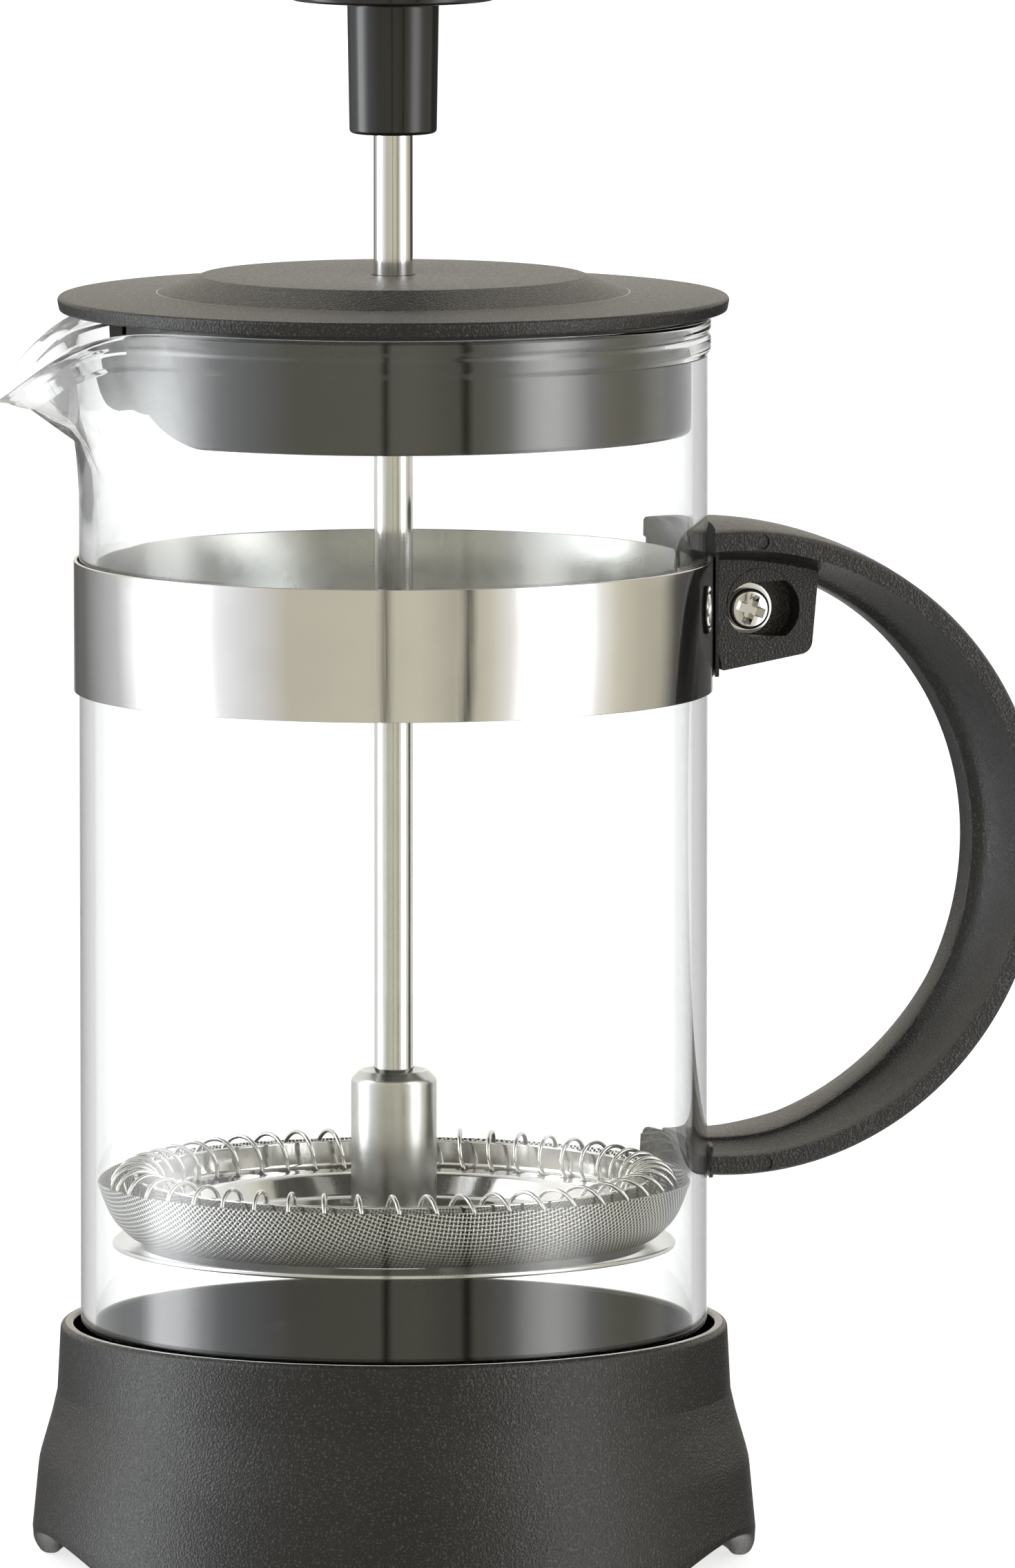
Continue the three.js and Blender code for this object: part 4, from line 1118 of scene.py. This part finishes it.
def add_camera():
    data = bpy.data.cameras.new("camera")
    data.lens = CAMERA_LENS
    data.sensor_width = 36
    data.clip_end = 100
    camera = bpy.data.objects.new("camera", data)
    bpy.context.scene.collection.objects.link(camera)
    away = TOWARDS * math.cos(CAMERA_ELEVATION) + Vector((0, 0, math.sin(CAMERA_ELEVATION)))
    camera.location = Vector((AXIS_X, 0, AIM_Z)) + RIGHT * AIM_RIGHT + away * CAMERA_DISTANCE
    camera.rotation_euler = away.to_track_quat("Z", "Y").to_euler()
    bpy.context.scene.camera = camera


def add_world():
    """White all round as seen directly, and mostly so through glass. As a light and in reflections, a room
    with a window on each side of the camera, a beige wall with two dark strips behind it, and dark corners
    behind the object. The room's brightnesses are fitted to the reflections in the photo."""
    warm = (1.0, 0.955, 0.78)
    plain = (1.0, 0.99, 0.97)
    cool = (0.96, 0.98, 1.0)
    scale = 6.0                         # the ramp holds brightnesses divided by this
    white_strength = 1.35
    # Degrees round the axis from the camera's side, brightness and tint.
    room = [
        (-180, 1.4, plain), (-175, 0.7, plain), (-167, 0.12, plain), (-148, 0.2, plain),
        (-134, 0.48, cool), (-118, 0.8, cool), (-107, 1.6, cool), (-98, 5.2, cool), (-86, 5.4, cool),
        (-76, 2.8, cool), (-67, 1.4, cool), (-57, 1.1, cool), (-47, 0.88, plain), (-38, 0.72, warm),
        (10, 0.8, warm), (22, 0.62, warm), (35, 0.8, warm), (44, 1.2, plain), (53, 3.0, plain),
        (62, 3.7, plain), (71, 2.7, plain), (80, 1.25, plain), (89, 0.88, warm), (100, 0.68, warm),
        (113, 0.6, warm), (123, 0.12, plain), (148, 0.07, plain), (166, 0.12, plain), (173, 0.9, plain),
        (180, 1.4, plain),
    ]
    world = bpy.data.worlds.new("studio")
    bpy.context.scene.world = world
    world.use_nodes = True
    graph = Graph(world.node_tree)
    direction = graph.node("ShaderNodeTexCoord").outputs["Generated"]

    def along(axis):
        made = graph.node("ShaderNodeVectorMath", operation="DOT_PRODUCT")
        graph.put(direction, made.inputs[0])
        made.inputs[1].default_value = axis
        return made.outputs["Value"]

    height = along((0, 0, 1))
    around = graph.math("ARCTAN2", along(RIGHT), along(TOWARDS))
    ramp = graph.node("ShaderNodeValToRGB")
    graph.put(graph.between(around, 0, 1, -math.pi, math.pi), ramp.inputs[0])
    elements = ramp.color_ramp.elements
    elements.remove(elements[1])
    for index, (degrees, brightness, tint) in enumerate(room):
        element = elements.new((degrees + 180) / 360) if index else elements[0]
        element.color = [brightness / scale * channel for channel in tint] + [1]
    colour = ramp.outputs[0]
    for degrees, half_width, depth in ((-2.5, 2.6, 0.8), (27.5, 3.2, 0.88)):
        off = graph.math("ABSOLUTE", graph.math("SUBTRACT", around, math.radians(degrees)))
        strip = graph.between(off, depth, 0, 0, math.radians(half_width))
        colour = graph.mix(strip, colour, (0, 0, 0, 1))
    sideways = graph.math("ABSOLUTE", around)
    above = graph.between(height, 0, 1, 0.02, 0.08)
    far_side = graph.between(sideways, 0, 1, math.radians(100), math.radians(122))
    backdrop = graph.math("MULTIPLY", above, far_side)
    colour = graph.mix(backdrop, colour, (0.95 / scale, 0.9 / scale, 0.8 / scale, 1))
    high_up = graph.between(height, 0, 1, 0.3, 0.5)
    raised = graph.math("MULTIPLY", high_up, graph.math("SUBTRACT", 1.0, backdrop))
    brighter = graph.node("ShaderNodeVectorMath", operation="SCALE")
    graph.put(colour, brighter.inputs[0])
    brighter.inputs["Scale"].default_value = 1.2
    colour = graph.mix(raised, colour, brighter.outputs[0])
    overhead = graph.between(height, 0, 1, 0.7, 0.86)
    colour = graph.mix(overhead, colour, (0.42 / scale, 0.41 / scale, 0.385 / scale, 1))
    underfoot = graph.between(height, 0, 1, -0.35, -0.8)
    colour = graph.mix(underfoot, colour, (0.7 / scale, 0.69 / scale, 0.66 / scale, 1))

    # How much a ray sees the white instead of the room. A straight ray comes out of glass with at most one
    # other bounce before it.
    side_share = 0.85
    edge_share = 0.6
    wall_surfaces = 4.5                 # straight through the beaker is four
    path = graph.node("ShaderNodeLightPath").outputs
    passed = graph.math("SUBTRACT", path["Ray Depth"], path["Transmission Depth"])
    bounced = graph.math("SUBTRACT", passed, 1.0, True)
    straight = graph.math("MULTIPLY", graph.math("SUBTRACT", 1.0, bounced), path["Is Transmission Ray"])
    behind = graph.between(sideways, 0, 1, math.radians(104), math.radians(120))
    before = graph.between(sideways, 1, 0, math.radians(50), math.radians(65))
    clear = graph.math("MULTIPLY", straight, graph.math("MAXIMUM", behind, before))
    in_wall = graph.math("LESS_THAN", path["Transmission Depth"], wall_surfaces)
    inner = graph.math("MULTIPLY", in_wall, path["Is Transmission Ray"])
    edge = graph.math("MULTIPLY", inner, graph.math("MULTIPLY", behind, edge_share))
    side = graph.math("MULTIPLY", straight, side_share)
    clear = graph.math("MAXIMUM", clear, graph.math("MAXIMUM", edge, side))
    white = graph.node("ShaderNodeBackground")
    white.inputs["Color"].default_value = (1, 1, 1, 1)
    white.inputs["Strength"].default_value = white_strength
    lit = graph.node("ShaderNodeBackground")
    graph.put(colour, lit.inputs["Color"])
    lit.inputs["Strength"].default_value = scale
    chosen = graph.node("ShaderNodeMixShader")
    graph.put(graph.math("MAXIMUM", clear, path["Is Camera Ray"]), chosen.inputs[0])
    graph.put(lit.outputs[0], chosen.inputs[1])
    graph.put(white.outputs[0], chosen.inputs[2])
    output = world.node_tree.nodes["World Output"]
    graph.put(chosen.outputs[0], output.inputs["Surface"])


def add_floor():
    """Pale floor, lit enough to stay nearly white under the object."""
    size = 30000
    shape = ([(-size, -size, 0), (size, -size, 0), (size, size, 0), (-size, size, 0)], [(0, 1, 2, 3)])
    floor = new_object("floor", shape)
    material, _, inputs, _ = shader("floor_white", Roughness=0.9, Base_Color=(0.5, 0.5, 0.5, 1))
    inputs["Emission Color"].default_value = (1, 1, 1, 1)
    inputs["Emission Strength"].default_value = 0.75
    floor.data.materials.append(material)
    floor.visible_glossy = False
    floor.visible_transmission = False


add_camera()
add_world()
add_floor()
bpy.context.scene.view_settings.view_transform = "Standard"
bpy.context.scene.cycles.max_bounces = 32
bpy.context.scene.cycles.transmission_bounces = 32
